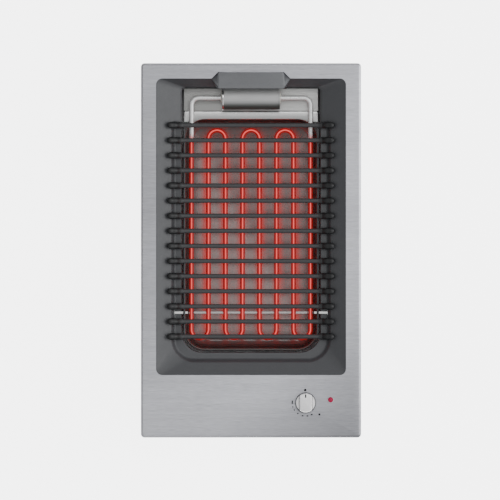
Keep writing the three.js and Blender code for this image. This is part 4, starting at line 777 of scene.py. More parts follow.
# painted shade: the barrel's front is dark and loses its metal
HOUSING_STEEL = TwoTone(
    "housing_steel", (0.54, 0.54, 0.535), (0.47, 0.47, 0.465),
    0.5, 0.4, Grain.ALONG_X, 1700, 0.05, axis="Y", folded=False,
    second=(0.045, 0.058, 0.054), second_until=195.5, first_from=206.5, dulls=True,
)
BAR_STEEL = TwoTone(
    "bar_steel", (0.78, 0.78, 0.77), (0.66, 0.66, 0.65), 0.3, 1.0, Grain.ALONG_X, 1500, 0.06, 0.08
)
# painted light: the pressing's dark enamel, made lighter on the hood as if lit
PAINTED_LIGHT_HOOD_ENAMEL = Finish(
    "hood_enamel_painted_light", (0.107, 0.110, 0.117), (0.093, 0.096, 0.102),
    0.42, 0.0, Grain.EVEN, 700, 0.05, 0.06, 0.2, 0.7,
)
DARK_ENAMEL = Finish(
    "dark_enamel", (0.050, 0.0515, 0.056), (0.043, 0.0445, 0.049),
    0.46, 0.0, Grain.EVEN, 700, 0.05, 0.06, 0.2, 0.7,
)
# painted shade: the rod ends are darker than their middles
GRATE_ENAMEL = TwoTone(
    "grate_enamel", (0.011, 0.0112, 0.012), (0.008, 0.0082, 0.009),
    0.42, 0.0, Grain.EVEN, 800, 0.08, 0.06, 0.2,
    second=(0.038, 0.0385, 0.041), second_until=90.0, first_from=99.0,
)
ZINC_SHEET = Finish(
    "zinc_sheet", (0.40, 0.415, 0.43), (0.26, 0.275, 0.29),
    0.42, 0.9, Grain.EVEN, 160, 0.05, 0.2, 0.4,
)
ALUMINISED = Finish(
    "aluminised_sheet", (0.42, 0.425, 0.43), (0.34, 0.345, 0.35),
    0.45, 0.9, Grain.ALONG_Y, 900, 0.08,
)
# the heater's pale crest is a painted highlight
SHEATH = GlowingSheath(
    "heater_sheath", (0.32, 0.014, 0.013), (0.22, 0.009, 0.008), 0.3, grain_depth=0.15, specular=0.3
)
SPRING_STEEL = Finish(
    "spring_steel", (0.30, 0.31, 0.34), (0.22, 0.23, 0.26), 0.34, 1.0, Grain.ALONG_Y, 1400, 0.08
)
ZINC_PLATING = Finish(
    "zinc_plating", (0.68, 0.69, 0.72), (0.56, 0.57, 0.60), 0.3, 1.0, Grain.EVEN, 1600, 0.08
)
# painted shade beside the grip and round the base
SATIN_KNOB = KnobMetal(
    "satin_knob", (0.93, 0.92, 0.925), (0.88, 0.87, 0.875),
    0.3, 0.45, Grain.EVEN, 1800, 0.05, 0.06,
)
CERAMIC = Finish("steatite", (0.80, 0.78, 0.72), (0.70, 0.68, 0.62), 0.6, grain_depth=0.2)
PHENOLIC = Finish(
    "phenolic", (0.035, 0.03, 0.028), (0.025, 0.022, 0.02), 0.5, grain_scale=700, grain_depth=0.2
)
WHITE_NYLON = Finish("white_nylon", (0.76, 0.75, 0.70), (0.68, 0.67, 0.62), 0.5)
BLACK_NYLON = Finish(
    "black_nylon", (0.022, 0.022, 0.024), (0.016, 0.016, 0.017), 0.45, grain_depth=0.15
)
GREY_FOAM = Finish(
    "grey_foam", (0.11, 0.11, 0.115), (0.05, 0.05, 0.055), 0.9, grain_scale=1300, grain_depth=0.6
)
BLACK_RUBBER = Finish(
    "black_rubber", (0.02, 0.02, 0.02), (0.014, 0.014, 0.014), 0.8, grain_depth=0.3
)
SILICONE = Finish(
    "silicone_sleeve", (0.26, 0.05, 0.03), (0.19, 0.035, 0.02),
    0.65, grain_scale=1100, grain_depth=0.25,
)
LENS = Lit(
    "lamp_lens", (0.30, 0.006, 0.045), (0.26, 0.005, 0.038),
    0.42, 0.0, Grain.EVEN, 900, 0.02, 0.02, 0.1, 0.3, (0.5, 0.008, 0.06), 0.25,
)
LAMP_HOLDER = TwoTone(
    "lamp_holder", (0.62, 0.60, 0.62), (0.54, 0.52, 0.54),
    0.35, 0.6, Grain.EVEN, 900, 0.05, axis="Z", folded=False,
    second=(0.022, 0.022, 0.024), second_until=100.6, first_from=101.2, dulls=True,
)
PRINT = Finish(
    "black_print", (0.006, 0.006, 0.007), (0.004, 0.004, 0.005),
    0.8, 0.0, Grain.EVEN, 900, 0.02, 0.1, 0.0, 0.1,
)
LIT_FLOOR = Lit(
    "pale_floor", (0.9, 0.9, 0.9), (0.88, 0.88, 0.88),
    0.9, 0.0, Grain.EVEN, 30, 0.02, 0.02, 0.0, strength=4.6,
)


# Pieces


class Shape(Protocol):
    """Whatever can make a mesh of itself."""

    def mesh(self, name: str) -> bpy.types.Mesh:
        """Make a mesh in metres."""


def put(name: str, data: bpy.types.ID) -> bpy.types.Object:
    """Make an object of some data and link it to the scene.

    Args:
        name: the object's name.
        data: its mesh, camera or light.

    Returns:
        The new object.
    """
    made = bpy.data.objects.new(name, data)
    bpy.context.scene.collection.objects.link(made)
    return made


def shade(mesh: bpy.types.Mesh, crease: float) -> None:
    """Shade a mesh smoothly and keep its edges sharp above an angle in degrees."""
    mesh.polygons.foreach_set("use_smooth", np.ones(len(mesh.polygons), dtype=bool))
    mesh.set_sharp_from_angle(angle=math.radians(crease))


def piece(
    name: str,
    shape: Shape,
    finish: Finish,
    body: Body,
    nodes: tuple[str, ...] = (),
    crease: float = 35.0,
) -> bpy.types.Object:
    """Turn a shape into a piece that rides on a body.

    Args:
        name: the piece's name.
        shape: what makes its mesh.
        finish: what it is finished in.
        body: the body that carries it.
        nodes: the solids that it stands for.
        crease: angle in degrees above which an edge stays sharp.

    Returns:
        The new object.
    """
    mesh = shape.mesh(name)
    shade(mesh, crease)
    mesh.materials.clear()
    mesh.materials.append(finish.material())
    made = put(name, mesh)
    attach(made, body.value)
    if nodes:
        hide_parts(*nodes)
    LOG.info("made %s, %d faces", name, len(mesh.polygons))
    return made


def face_up(made: bpy.types.Object) -> None:
    """Turn an open sheet so that its upper side is its front.

    Args:
        made: the sheet.
    """
    mesh = made.data
    normals = np.empty(len(mesh.polygons) * 3)
    areas = np.empty(len(mesh.polygons))
    mesh.polygons.foreach_get("normal", normals)
    mesh.polygons.foreach_get("area", areas)
    if (normals.reshape(-1, 3)[:, 2] * areas).sum() < 0:
        mesh.flip_normals()


def thicken(made: bpy.types.Object, gauge: float, underside: int = 0) -> None:
    """Give an open sheet its wall, downwards from its face.

    Args:
        made: the sheet.
        gauge: the wall in millimetres.
        underside: which of its materials the underside has.
    """
    wall = made.modifiers.new("gauge", "SOLIDIFY")
    wall.thickness = gauge * MM
    wall.offset = -1
    wall.use_even_offset = True
    wall.material_offset = underside


def soften(made: bpy.types.Object, width: float, steps: int = 2, angle: float = 32.0) -> None:
    """Round the sharp edges.

    Args:
        made: the object.
        width: the rounding in millimetres.
        steps: faces across each rounded edge.
        angle: angle in degrees above which an edge is rounded.
    """
    bevel = made.modifiers.new("edges", "BEVEL")
    bevel.width = width * MM
    bevel.segments = steps
    bevel.limit_method = "ANGLE"
    bevel.angle_limit = math.radians(angle)
    bevel.harden_normals = True


def settle(made: bpy.types.Object, crease: float) -> None:
    """Put the modifiers' result into the mesh and keep its edges sharp above an angle.

    Args:
        made: the object whose modifiers are settled.
        crease: angle in degrees above which an edge stays sharp.
    """
    worked = made.evaluated_get(bpy.context.evaluated_depsgraph_get())
    mesh = bpy.data.meshes.new_from_object(worked)
    made.modifiers.clear()
    made.data = mesh
    shade(mesh, crease)


@dataclass(frozen=True)
class WorkedCopy:
    """A piece whose solid is already right: a merged copy with its edges broken."""

    node: str
    finish: Finish
    slot: str
    body: Body
    edge: float
    merge: float = 2e-6
    flat: float = 0.4

    def mesh(self, name: str) -> bpy.types.Mesh:
        """Merge a copy of the solid and dissolve its flat faces.

        Args:
            name: the mesh's name.

        Returns:
            The new mesh.
        """
        solid = NODES[self.node]
        work = bmesh.new()
        work.from_mesh(solid.data)
        work.transform(solid.matrix_world)
        bmesh.ops.remove_doubles(work, verts=work.verts, dist=self.merge)
        limit = math.radians(self.flat)
        bmesh.ops.dissolve_limit(work, angle_limit=limit, verts=work.verts, edges=work.edges)
        mesh = bpy.data.meshes.new(name)
        work.to_mesh(mesh)
        work.free()
        return mesh

    def make(self) -> None:
        """Make the piece and break its edges."""
        made = piece(f"{self.node}_worked", self, self.finish, self.body, (self.node,))
        if self.edge:
            soften(made, self.edge)


@dataclass
class WellSurround:
    """The enamelled pressing round the grate, and the hood at its back."""

    inner: Outline = Outline(
        LAYOUT.opening_half, LAYOUT.opening_front, LAYOUT.opening_rear, 28, 5, 20, 110
    )
    outer: Outline = Outline(LAYOUT.well_half, LAYOUT.well_front, LAYOUT.well_rear, 8, 8, 20, 110)
    gauge: float = 1.0
    skirt: float = 10.0
    fold: float = 1.2
    fold_steps: int = 6
    rim_fold: float = 0.6
    flange: float = 2.2
    groove_half: float = 105.8
    groove_front: float = -149.7
    groove_rear: float = 172.0
    groove_radius: float = 28.0
    groove_rear_radius: float = 2.0
    soft: float = 7.0
    hood_front: float = 222.8
    hood_rear: float = 242.4
    hood_top_front: float = 45.7
    hood_top_rear: float = 43.8
    hood_foot_front: float = 48.0
    hood_foot_wide: float = 53.5
    hood_foot_rear: float = 44.6
    hood_rise: float = 4.0
    hood_edge: float = 1.4
    notch_bottom: float = 80.2
    notch_wide_x: float = 103.2
    notch_end_x: float = 105.0
    notch_y: tuple[float, ...] = (-81.5, -82.8, -86.8, -88.1)
    notch_steps: tuple[int, ...] = (14, 13, 11, 10)  # from those edges to a side's front end
    slope_rows: tuple[tuple[float, float, int], ...] = (
        (0.05, 0.22, 9), (0.235, 0.48, 30), (0.51, 1, 14)
    )

    def groove_distance(self, x: np.ndarray, y: np.ndarray) -> np.ndarray:
        """Signed distance to the ledge's outline, negative over the ledge.

        The outline is a box with rounded front corners: the length of the part of (dx, dy) that
        lies outside the shrunken box, less the radius, as for any rounded box.

        Args:
            x: places across.
            y: places front to back.

        Returns:
            The distance in millimetres.
        """
        radius = np.where(y < 0, self.groove_radius, self.groove_rear_radius)
        middle = (self.groove_front + self.groove_rear) / 2
        dx = np.abs(x) - (self.groove_half - radius)
        dy = np.abs(y - middle) - ((self.groove_rear - self.groove_front) / 2 - radius)
        outside = np.hypot(np.maximum(dx, 0), np.maximum(dy, 0))
        return outside + np.minimum(np.maximum(dx, dy), 0) - radius

    def spaced(self, rings: np.ndarray, foot: float) -> np.ndarray:
        """Slide points along the sides, so that some lie on the edges of the cuts.

        The rear side gets a point at each foot of the hood, and both long sides get points on
        the edges of the support bar's notches. Between them the points are evenly spaced.

        Args:
            rings: rings of the inner or the outer outline, by points by two.
            foot: half the hood's width at these rings.

        Returns:
            The rings with three sides spaced anew.
        """
        count, third = self.inner.side_steps, self.inner.side_steps // 3
        notch = np.array([-1, *(count - step for step in self.notch_steps), count])
        rings = rings.copy()
        for side, axis, places, levels in (
            (0, 0, (-1, third, count - 1 - third, count), (foot, -foot)),
            (1, 1, notch, self.notch_y),
            (3, 1, count - 1 - notch[::-1], self.notch_y[::-1]),
        ):
            start = side * self.inner.block + self.inner.corner_steps
            for ring in rings:
                first, last = ring[start - 1, axis], ring[(start + count) % len(ring), axis]
                ring[start:start + count, axis] = np.interp(
                    np.arange(count), places, [first, *levels, last]
                )
        return rings

    def slope_rings(self, across: np.ndarray) -> np.ndarray:
        """The slopes and the ledge.

        Each ring lies a share of the way from the opening to the well's edge. Its height is the
        same share of the slope, and falls to the ledge where the ring is over the ledge, over a
        soft step.

        Args:
            across: shares from 0, the opening, to 1, the well's edge.

        Returns:
            Rings by points by three.
        """
        low = self.spaced(self.inner.rings(np.zeros(1)), self.hood_foot_front)
        high = self.spaced(self.outer.rings(np.zeros(1)), self.hood_foot_wide)
        plan = low + (high - low) * across[:, None, None]
        slope = (LAYOUT.flange_top - LAYOUT.ledge) * across[:, None]
        step = ease(self.groove_distance(plan[..., 0], plan[..., 1]) / self.soft + 0.5)
        height = LAYOUT.ledge + slope * step
        return np.concatenate([plan, height[..., None]], axis=-1)

    def kept(self, faces: np.ndarray, wide_row: int, end_row: int) -> np.ndarray:
        """Which faces stay when the hood's place and the bar's notches are cut.

        Args:
            faces: the quads of the whole skin.
            wide_row: the row from which a notch is wide.
            end_row: the row at which it ends.

        Returns:
            A mask over the faces.
        """
        corner, count, block = self.inner.corner_steps, self.inner.side_steps, self.inner.block
        row, column = np.divmod(faces[:, 0], 4 * block)
        third = count // 3
        hood = (column >= corner + third) & (column < corner + count - 1 - third)
        first, last = self.notch_steps[0], self.notch_steps[-1]
        starts = np.array([block + corner + count - first, 3 * block + corner + last - 1])
        step = column[:, None] - starts
        wide = ((step >= 0) & (step < first - last)).any(axis=1)
        narrow = ((step >= 1) & (step < first - last - 1)).any(axis=1)
        notch = (row < end_row) & ((narrow & (row >= 1)) | (wide & (row >= wide_row)))
        return ~(hood | notch)

    def sheet(self) -> Shell:
        """The pressing as one open skin: skirt, fold, slopes with the ledge, fold and flange.

        Returns:
            The skin without the hood's place and the notches of the support bar.
        """
        fold = np.radians(np.linspace(0, 90, self.fold_steps))
        inset = np.concatenate([[0, 0], -self.fold * (1 - np.cos(fold))])
        height = np.concatenate([
            [LAYOUT.ledge - self.skirt, self.notch_bottom],
            LAYOUT.ledge - self.fold + self.fold * np.sin(fold),
        ])
        skirt = lift(self.spaced(self.inner.rings(inset), self.hood_foot_front), height)
        notch = np.array([self.notch_wide_x, self.notch_end_x]) - LAYOUT.opening_half
        notch /= LAYOUT.well_half - LAYOUT.opening_half
        rows = [np.linspace(*span) for span in self.slope_rows]
        across = np.sort(np.concatenate([*rows, notch]))
        flange = self.outer.rings(np.array([-self.rim_fold, -self.flange]))
        rim = lift(self.spaced(flange, self.hood_foot_wide), np.full(2, LAYOUT.flange_top))
        rings = np.concatenate([skirt, self.slope_rings(across), rim])
        faces = grid_faces(*rings.shape[:2])
        notch_rows = len(skirt) + np.searchsorted(across, notch - 1e-6)
        return Shell().add(rings, faces[self.kept(faces, *notch_rows)].tolist())

    def hood(self) -> Shell:
        """The hood: a folded cover of flat facets between a top and two sloping feet.

        Returns:
            Its open skin.
        """
        top = LAYOUT.plate_top + self.hood_rise
        base = LAYOUT.flange_top
        right = np.array([
            [self.hood_top_front, self.hood_front, top],
            [self.hood_top_rear, self.hood_rear, top],
            [self.hood_foot_front, self.hood_front, LAYOUT.ledge],
            [self.hood_foot_wide, LAYOUT.well_rear, base],
            [self.hood_foot_rear, self.hood_rear, base],
        ])
        faces = [[0, 1, 6, 5], [0, 2, 3], [0, 3, 4, 1], [5, 8, 7], [5, 6, 9, 8], [1, 4, 9, 6]]
        return Shell().add(np.concatenate([right, right * [-1, 1, 1]]), faces)

    def make(self) -> None:
        """Make the pressing and the hood."""
        nodes = ("well_surround",)
        sheet = piece("well_pressing", self.sheet(), DARK_ENAMEL, Body.UNIT, nodes, 60)
        face_up(sheet)
        thicken(sheet, self.gauge)
        settle(sheet, 50)
        hood = piece("hood_cover", self.hood(), PAINTED_LIGHT_HOOD_ENAMEL, Body.UNIT, ("well_hood",), 20)
        face_up(hood)
        soften(hood, self.hood_edge, steps=4, angle=12)
        thicken(hood, self.gauge)
        settle(hood, 40)


@dataclass
class DripPan:
    """The drawn pan: a lip, a flange that is wide at the back, a rolled edge and a basin."""

    gauge: float = 0.8
    half: float = 92.0
    front: float = -136.8
    rear: float = 190.2
    side_flange: float = 1.8
    rear_flange: float = 10.2
    radius: float = 27.0
    rear_radius: float = 3.0
    depth: float = 34.0
    lip: float = 4.0
    outer_roll: float = 0.8
    inner_roll: float = 1.0
    draft: float = 3.0
    fillet: float = 10.0
    wall_foot: Pair = (0.2, 0.5)  # its inset past the draft and its height over the fillet
    steps: tuple[int, int] = (16, 50)
    crease: float = 50.0

    def rings(self) -> np.ndarray:
        """The pan from its lip over the flange to its floor.

        Wall and fillet follow the solid: inset = draft + fillet (1 - cos a), height =
        floor + fillet (1 - sin a).

        Returns:
            Rings by points by three.
        """
        side, steps = self.side_flange, self.steps
        edge = Outline(
            self.half, self.front, self.rear, self.radius + side, self.rear_radius, *steps
        )
        bowl = Outline(
            self.half - side, self.front + side, self.rear - self.rear_flange,
            self.radius, self.radius, *steps,
        )
        turn = np.radians(np.linspace(0, 90, 6))
        bend = np.radians(np.linspace(0, 90, 9))
        rim, floor = LAYOUT.pan_rim, LAYOUT.pan_rim - self.depth + self.gauge
        outer, inner = self.outer_roll, self.inner_roll
        foot_in, foot_up = self.wall_foot
        return np.concatenate([
            lift(edge.rings(np.zeros(1)), np.array([rim - self.lip])),
            lift(edge.rings(outer * (1 - np.cos(turn))), rim - outer + outer * np.sin(turn)),
            lift(bowl.rings(inner * np.sin(turn)), rim - inner * (1 - np.cos(turn))),
            lift(
                bowl.rings(np.array([self.draft + foot_in])),
                np.array([floor + self.fillet + foot_up]),
            ),
            lift(
                bowl.rings(self.draft + self.fillet * (1 - np.cos(bend))),
                floor + self.fillet * (1 - np.sin(bend)),
            ),
        ])

    def make(self) -> None:
        """Make the pan, with a plain finish on its outside."""
        shell = Shell().add_loft(self.rings(), open_start=True)
        slot, nodes = "polished steel", ("drip_pan",)
        pan = piece("pan_pressing", shell, PAN_STEEL, Body.PAN, nodes, self.crease)
        face_up(pan)
        pan.data.materials.append(PAN_OUTSIDE.material())
        thicken(pan, self.gauge, underside=1)
        settle(pan, self.crease)


@dataclass
class CookingGrate:
    """Rods whose thickened ends rise along the slopes, and the two ties under them."""

    count: int = 15
    radius: float = 3.0
    end_radius: float = 4.4
    lift: float = 2.0
    gap: float = 0.3
    swell_x: float = 90.5
    flat_x: float = 97.0
    bend_x: float = 105.8
    tip_x: float = 113.8
    tip_turn: float = 0.985  # share of a quarter turn, short of a pole
    rear_y: float = 170.6
    front_y: float = -117.4
    tie_x: float = 91.0
    tie_radius: float = 1.5
    tie_weld: float = 0.7
    sides: int = 20
    tie_sides: int = 16

    def rod(self) -> np.ndarray:
        """One rod at Y = 0.

        The radius eases up between swell_x and flat_x, and the height from the flat middle to
        the slope between flat_x and bend_x. The end is a hemisphere: radius = end_radius *
        sqrt(1 - t^2).

        Returns:
            Stations by sides by three.
        """
        rise = LAYOUT.side_slope
        stand = (self.end_radius + self.gap) * math.hypot(1, rise)
        level = LAYOUT.ledge + self.lift + self.radius
        start = self.tip_x - self.end_radius
        turn = np.linspace(0, math.pi / 2 * self.tip_turn, 9)
        x = np.concatenate([
            [self.flat_x * 0.5],
            np.linspace(self.swell_x, self.flat_x, 8)[:-1],
            np.linspace(self.flat_x, self.bend_x, 12),
            start + self.end_radius * np.sin(turn),
        ])
        share = ease((x - self.flat_x) / (self.bend_x - self.flat_x))
        thick = ease((x - self.swell_x) / (self.flat_x - self.swell_x))
        on_slope = LAYOUT.ledge + (x - LAYOUT.opening_half) * rise + stand
        target = LAYOUT.ledge + (self.bend_x - LAYOUT.opening_half) * rise + stand
        z = np.where(x < self.bend_x, level + (target - level) * share, on_slope)
        along = np.clip((x - start) / self.end_radius, 0, 1)
        radius = self.radius + (self.end_radius - self.radius) * thick
        radius = radius * np.sqrt(1 - along**2)
        x = np.concatenate([-x[::-1], [0], x])
        z = np.concatenate([z[::-1], [level], z])
        radius = np.concatenate([radius[::-1], [self.radius], radius])
        path = np.stack([x, np.zeros_like(x), z], axis=-1)
        return tube(path, radius, np.array([0.0, 1.0, 0.0]), self.sides)

    def make(self) -> None:
        """Make rods and ties as one welded piece."""
        shell = Shell()
        places = np.linspace(self.rear_y, self.front_y, self.count)
        shell.add_copies(self.rod(), places[:, None] * [0, 1, 0])
        level = LAYOUT.ledge + self.lift - self.tie_radius + self.tie_weld
        ends = np.array([[0, self.front_y, level], [0, self.rear_y, level]])
        normal = np.array([1.0, 0.0, 0.0])
        tie = tube(ends, np.full(2, self.tie_radius), normal, self.tie_sides)
        shell.add_copies(tie, np.array([[-self.tie_x, 0, 0], [self.tie_x, 0, 0]]))
        nodes = ("cooking_grate",)
        piece("grate_rods", shell, GRATE_ENAMEL, Body.GRATE, nodes, 50)


@dataclass
class Heater:
    """The bent sheathed tube: two cold ends and eight legs."""

    radius: float = 3.25
    legs: int = 8
    outer_leg: float = 81.2
    rear_apex: float = 164.1
    front_apex: float = -119.5
    cold_bend: float = 9.75
    cold_end: float = 24.0
    bend_steps: int = 12
    turn_steps: int = 22
    sides: int = 24

    def centreline(self) -> np.ndarray:
        """Straight runs joined by quarter turns at the cold ends and half turns between legs.

        Returns:
            Stations by three.
        """
        pitch = 2 * self.outer_leg / (self.legs - 1)
        turn = pitch / 2
        bend, steps = self.cold_bend, self.bend_steps
        x, y = self.outer_leg - bend, LAYOUT.pivot_y - bend
        runs = [[[-self.cold_end, LAYOUT.pivot_y]], arc((-x, y), bend, 90, 180, steps)]
        for gap in range(self.legs - 1):
            middle = -self.outer_leg + (gap + 0.5) * pitch
            front = gap % 2 == 0
            apex = self.front_apex + turn if front else self.rear_apex - turn
            end = 360 if front else 0
            runs.append(arc((middle, apex), turn, 180, end, self.turn_steps))
        runs += [arc((x, y), bend, 0, 90, steps), [[self.cold_end, LAYOUT.pivot_y]]]
        plan = np.concatenate(runs)
        return np.column_stack([plan, np.full(len(plan), LAYOUT.pivot_z)])

    def make(self) -> None:
        """Sweep the tube along its centreline."""
        path = self.centreline()
        radii, normal = np.full(len(path), self.radius), np.array([0.0, 0.0, 1.0])
        shell = Shell().add_loft(tube(path, radii, normal, self.sides))
        nodes = ("heating_element",)
        piece("heater_tube", shell, SHEATH, Body.HEATER, nodes, 50)


@dataclass
class Controls:
    """Knob, lamp and the printed marks round the knob."""

    knob_radius: float = 14.1
    base_height: float = 7.0
    height: float = 18.95
    stand: float = 1.0
    grip_half: float = 8.3
    grip_top_half: float = 8.2
    grip_foot: float = 1.0
    grip_inset: float = 0.15
    edge: float = 1.2
    chamfer: float = 0.3
    bore: float = 4.0
    dip_radii: Pair = (10.0, 1.0)
    dips: Pair = (0.5, 0.6)
    sides: int = 96
    grip_sides: int = 160
    climb_steps: int = 5
    roll_steps: int = 7
    lamp: Pair = (108.3, -203.4)
    lens_radius: float = 3.4
    lens_rim: float = 0.8
    lens_foot: float = 0.2
    lens_eye: float = 0.5
    lens_sides: int = 40
    dome: float = 1.5
    dome_steps: int = 12
    dome_turn: float = 0.97  # share of a quarter turn, short of a pole
    pointer_half: float = 0.95
    pointer_y: Pair = (7.0, 11.6)
    pointer_z: Pair = (-0.05, 0.04)
    print_z: Pair = (-0.02, 0.03)
    dots: tuple[tuple[float, ...], ...] = ((73.8, -190.2, 1.75), (93.1, -223.3, 1.4))
    dot_sides: int = 24
    dash_radii: Pair = (17.45, 18.95)
    dash_middle: float = 18.0
    dash_steps: int = 6
    dash_angles: tuple[float, ...] = (178, 198, 213, 234, 257, 278, 297)
    dash_lengths: tuple[float, ...] = (4.8, 1.7, 1.9, 2.0, 2.2, 2.4, 2.7)

    def knob_body(self) -> Shell:
        """The knob: a round base with a rolled edge, and a grip across it.

        A grip's ring at each height is a circle whose X is clipped to the grip's half width:
        point = (clip(r cos a, -w, w), r sin a).

        Returns:
            Two closed shells that meet inside the base.
        """
        x, y = LAYOUT.knob
        bottom = LAYOUT.plate_top + self.stand
        turn = np.linspace(0, math.pi / 2, self.roll_steps)
        roll, fall = self.edge * (1 - np.cos(turn)), self.edge * (1 - np.sin(turn))
        full, chamfer = self.knob_radius, self.chamfer
        base_z = bottom + self.base_height - fall
        dips = (base_z[-1] - dip for dip in self.dips)
        profile = np.column_stack([
            [self.bore, full - chamfer, full, *(full - roll), *self.dip_radii],
            [bottom, bottom, bottom + chamfer, *base_z, *dips],
        ])
        shell = Shell().add_loft(revolve(profile, (x, y), self.sides))
        angle = np.linspace(0, 2 * math.pi, self.grip_sides, endpoint=False)[None, :]
        climb = np.linspace(0, 1, self.climb_steps)
        width = self.grip_half + (self.grip_top_half - self.grip_half) * climb
        reach = full - self.grip_inset - self.edge * climb
        rise = bottom + self.grip_foot + (self.height - self.grip_foot - self.edge) * climb
        width = np.concatenate([width, width[-1] - roll[1:]])[:, None]
        reach = np.concatenate([reach, reach[-1] - roll[1:]])[:, None]
        rise = np.concatenate([rise, bottom + self.height - fall[1:]])
        ring_x = x + np.clip(reach * np.cos(angle), -width, width)
        return shell.add_loft(lift(np.stack([ring_x, y + reach * np.sin(angle)], axis=-1), rise))

    def marks(self) -> Shell:
        """Plain dots and dashes round the knob, a print of hardly any height.

        Returns:
            One closed shell a mark.
        """
        low, high = (LAYOUT.plate_top + z for z in self.print_z)
        near, far = self.dash_radii
        shell = Shell()
        for x, y, radius in self.dots:
            dot = arc((x, y), radius, 0, 360 - 360 / self.dot_sides, self.dot_sides)
            shell.add_prism(dot, low, high)
        for degrees, length in zip(self.dash_angles, self.dash_lengths):
            half = math.degrees(length / 2 / self.dash_middle)
            outer = arc(LAYOUT.knob, far, degrees - half, degrees + half, self.dash_steps)
            inner = arc(LAYOUT.knob, near, degrees + half, degrees - half, self.dash_steps)
            shell.add_prism(np.concatenate([outer, inner]), low, high)
        return shell

    def pointer(self) -> Shell:
        """The line on top of the grip.

        Returns:
            One closed shell.
        """
        x, y = LAYOUT.knob
        left, right = x - self.pointer_half, x + self.pointer_half
        near, far = (y + along for along in self.pointer_y)
        top = LAYOUT.plate_top + self.stand + self.height
        line = np.array([[left, near], [right, near], [right, far], [left, far]])
        return Shell().add_prism(line, *(top + z for z in self.pointer_z))

    def lens(self) -> Shell:
        """The domed lens, a flat ellipse turned about its axis.

        Returns:
            One closed shell.
        """
        rim, foot = LAYOUT.plate_top + self.lens_rim, LAYOUT.plate_top - self.lens_foot
        turn = np.linspace(0, math.pi / 2 * self.dome_turn, self.dome_steps)
        profile = np.column_stack([
            [self.lens_eye, self.lens_radius, *(self.lens_radius * np.cos(turn))],
            [foot, foot, *(rim + self.dome * np.sin(turn))],
        ])
        return Shell().add_loft(revolve(profile, self.lamp, self.lens_sides))

    def make(self) -> None:
        """Make knob, pointer, marks and lens."""
        satin, unit = "satin metal", Body.UNIT
        piece("knob_body", self.knob_body(), SATIN_KNOB, Body.KNOB, ("control_knob",), 30)
        piece("knob_pointer", self.pointer(), PRINT, Body.KNOB)
        piece("knob_marks", self.marks(), PRINT, unit)
        piece("lamp_dome", self.lens(), LENS, unit, ("pilot_lamp_lens",), 50)


@dataclass
class Fittings:
    """Pieces whose solids are right and only need their edges and finishes."""

    edge: float = 0.2
    fastener_edge: float = 0.15
    fasteners: int = 4

    def make(self) -> None:
        """Work every remaining solid."""
        unit, heater, edge, fine = Body.UNIT, Body.HEATER, self.edge, self.fastener_edge
        zinc, shiny, satin, black = "zinc sheet", "zinc fasteners", "satin steel", "black nylon"
        rows = [
            (BRUSHED_PLATE, "brushed steel", unit, 0.35, "worktop_plate"),
            (SHELF_STEEL, satin, unit, 0.4, "rear_shelf"),
            (HOUSING_STEEL, satin, unit, edge, "terminal_housing"),
            (BRIGHT_STEEL, "polished steel", unit, edge, "housing_cap_left"),
            (HOUSING_STEEL, satin, unit, edge, "housing_cap_right"),
            (SATIN_STEEL, satin, unit, edge, "housing_saddle"),
            (BAR_STEEL, "polished steel", heater, edge, "heater_support_bar"),
            (ZINC_SHEET, zinc, unit, 0.3, "outer_casing"),
            (ZINC_SHEET, zinc, unit, edge, "bay_rail_left", "bay_rail_right"),
            (ZINC_SHEET, zinc, unit, edge, "heat_shield", "regulator_bracket"),
            (ALUMINISED, "aluminised sheet", unit, edge, "pan_bay"),
            (ZINC_PLATING, shiny, Body.KNOB, 0.15, "knob_shaft"),
            (ZINC_PLATING, shiny, unit, edge, "regulator_nut"),
            (ZINC_PLATING, shiny, heater, 0.1, "terminal_pin_left", "terminal_pin_right"),
            (CERAMIC, "ceramic", unit, edge, "pivot_bush_left", "pivot_bush_right"),
            (
                CERAMIC, "ceramic", heater, edge,
                "terminal_insulator_left", "terminal_insulator_right",
            ),
            (PHENOLIC, "dark phenolic", unit, 0.5, "energy_regulator"),
            (PHENOLIC, "dark phenolic", unit, edge, "thermal_cutout"),
            (WHITE_NYLON, "white nylon", unit, 0.4, "mains_terminal_block"),
            (LAMP_HOLDER, black, unit, 0.1, "pilot_lamp_holder"),
            (BLACK_NYLON, black, unit, 0.3, "cable_inlet", "inlet_nut"),
            (GREY_FOAM, "grey foam", unit, 0.4, "rim_seal"),
            (BLACK_RUBBER, "black rubber", unit, 0.15, "knob_seal"),
            (SILICONE, "silicone sleeve", unit, 0.0, "heater_lead", "regulator_lead"),
        ]
        for stem, finish, slot in (
            ("worktop_clip", SPRING_STEEL, "spring steel"), ("clip_screw", ZINC_PLATING, shiny),
            ("casing_screw", ZINC_PLATING, shiny), ("surround_nut", ZINC_PLATING, shiny),
        ):
            numbers = range(1, self.fasteners + 1)
            rows.append((finish, slot, unit, fine, *(f"{stem}_{number}" for number in numbers)))
        for finish, slot, body, width, *names in rows:
            for name in names:
                WorkedCopy(name, finish, slot, body, width).make()


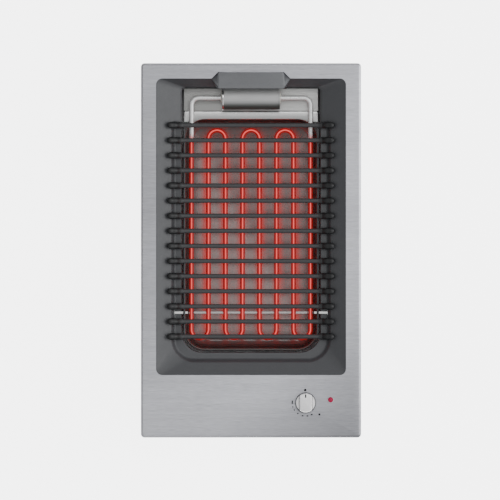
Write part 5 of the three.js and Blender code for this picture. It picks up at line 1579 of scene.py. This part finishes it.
@dataclass
class Studio:
    """Camera, pale floor and soft light, in metres."""

    plate_z: float = 0.1011
    distance: float = 12.0
    view_width: float = 0.6808
    sensor: float = 36.0
    aim: Pair = (-0.00136, 0.00054)
    floor_half: float = 9.0
    floor_z: float = -0.0005
    sky_depth: tuple[float, ...] = (-0.9, 0.2, 0.75, 0.70)  # directions, then strengths
    sky_width: tuple[float, ...] = (-0.8, 0.8, 0.70, 1.6)
    sky_tint: Rgb = (0.98, 0.99, 1.0)
    far: float = 40.0
    target: tuple[float, ...] = (0.0, 0.0, 0.1)
    boxes: tuple[tuple, ...] = (
        ("right_box", (4.4, 0.2, 3.4), (4.2, 3.4), 95),
        ("top_box", (0.6, 3.4, 14.5), (8.0, 7.0), 100),
        ("key_box", (0.6, 3.8, 14.0), (1.8, 1.8), 80),
    )

    def camera(self) -> None:
        """Look straight down, with the plate's width as the photograph shows it."""
        lens = bpy.data.cameras.new("camera")
        lens.sensor_width = self.sensor
        lens.lens = self.sensor * self.distance / self.view_width
        lens.clip_end = self.far
        seat = put("camera", lens)
        seat.location = (*self.aim, self.plate_z + self.distance)
        bpy.context.scene.camera = seat

    def lamp(
        self, name: str, place: tuple[float, ...], size: tuple[float, ...], power: float
    ) -> None:
        """Put up one soft box that faces the grill.

        Args:
            name: what to call it.
            place: where it hangs.
            size: its width and height.
            power: its power in watts.
        """
        data = bpy.data.lights.new(name, "AREA")
        data.shape = "RECTANGLE"
        data.size, data.size_y = size
        data.energy = power
        box = put(name, data)
        box.location = place
        facing = Vector(self.target) - Vector(place)
        box.rotation_euler = facing.to_track_quat("-Z", "Y").to_euler()

    def floor(self) -> None:
        """Lay a pale floor under the casing."""
        half = self.floor_half
        plan = ((-half, -half), (half, -half), (half, half), (-half, half))
        mesh = bpy.data.meshes.new("floor")
        mesh.from_pydata([(x, y, self.floor_z) for x, y in plan], [], [(0, 1, 2, 3)])
        mesh.materials.append(LIT_FLOOR.material())
        ground = put("floor", mesh)

    def sky(self) -> None:
        """Surround the scene with a soft light: a little dimmer behind, brighter at the right.

        strength = ramp(y, sky_depth) * ramp(x, sky_width).
        """
        world = bpy.data.worlds.new("studio")
        world.use_nodes = True
        net = Wiring(world.node_tree)
        axes = net.axes(net.add("TexCoord", {}).outputs["Generated"])
        depth, width = net.ramp(axes["Y"], *self.sky_depth), net.ramp(axes["X"], *self.sky_width)
        background = world.node_tree.nodes["Background"]
        net.feed(background.inputs["Strength"], net.calc("MULTIPLY", depth, width))
        net.feed(background.inputs["Color"], self.sky_tint)
        bpy.context.scene.world = world

    def make(self) -> None:
        """Set up camera, floor, world and lamps."""
        self.camera()
        self.floor()
        self.sky()
        for box in self.boxes:
            self.lamp(*box)


def main() -> None:
    """Build the grill in order and report each piece."""
    logging.basicConfig(level=logging.INFO, format="%(message)s")
    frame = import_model()
    NODES.update(frame["nodes"])
    Studio().make()
    for assembly in (WellSurround(), DripPan(), CookingGrate(), Heater(), Controls(), Fittings()):
        LOG.info("building %s", type(assembly).__name__)
        assembly.make()


if __name__ == "__main__":
    main()
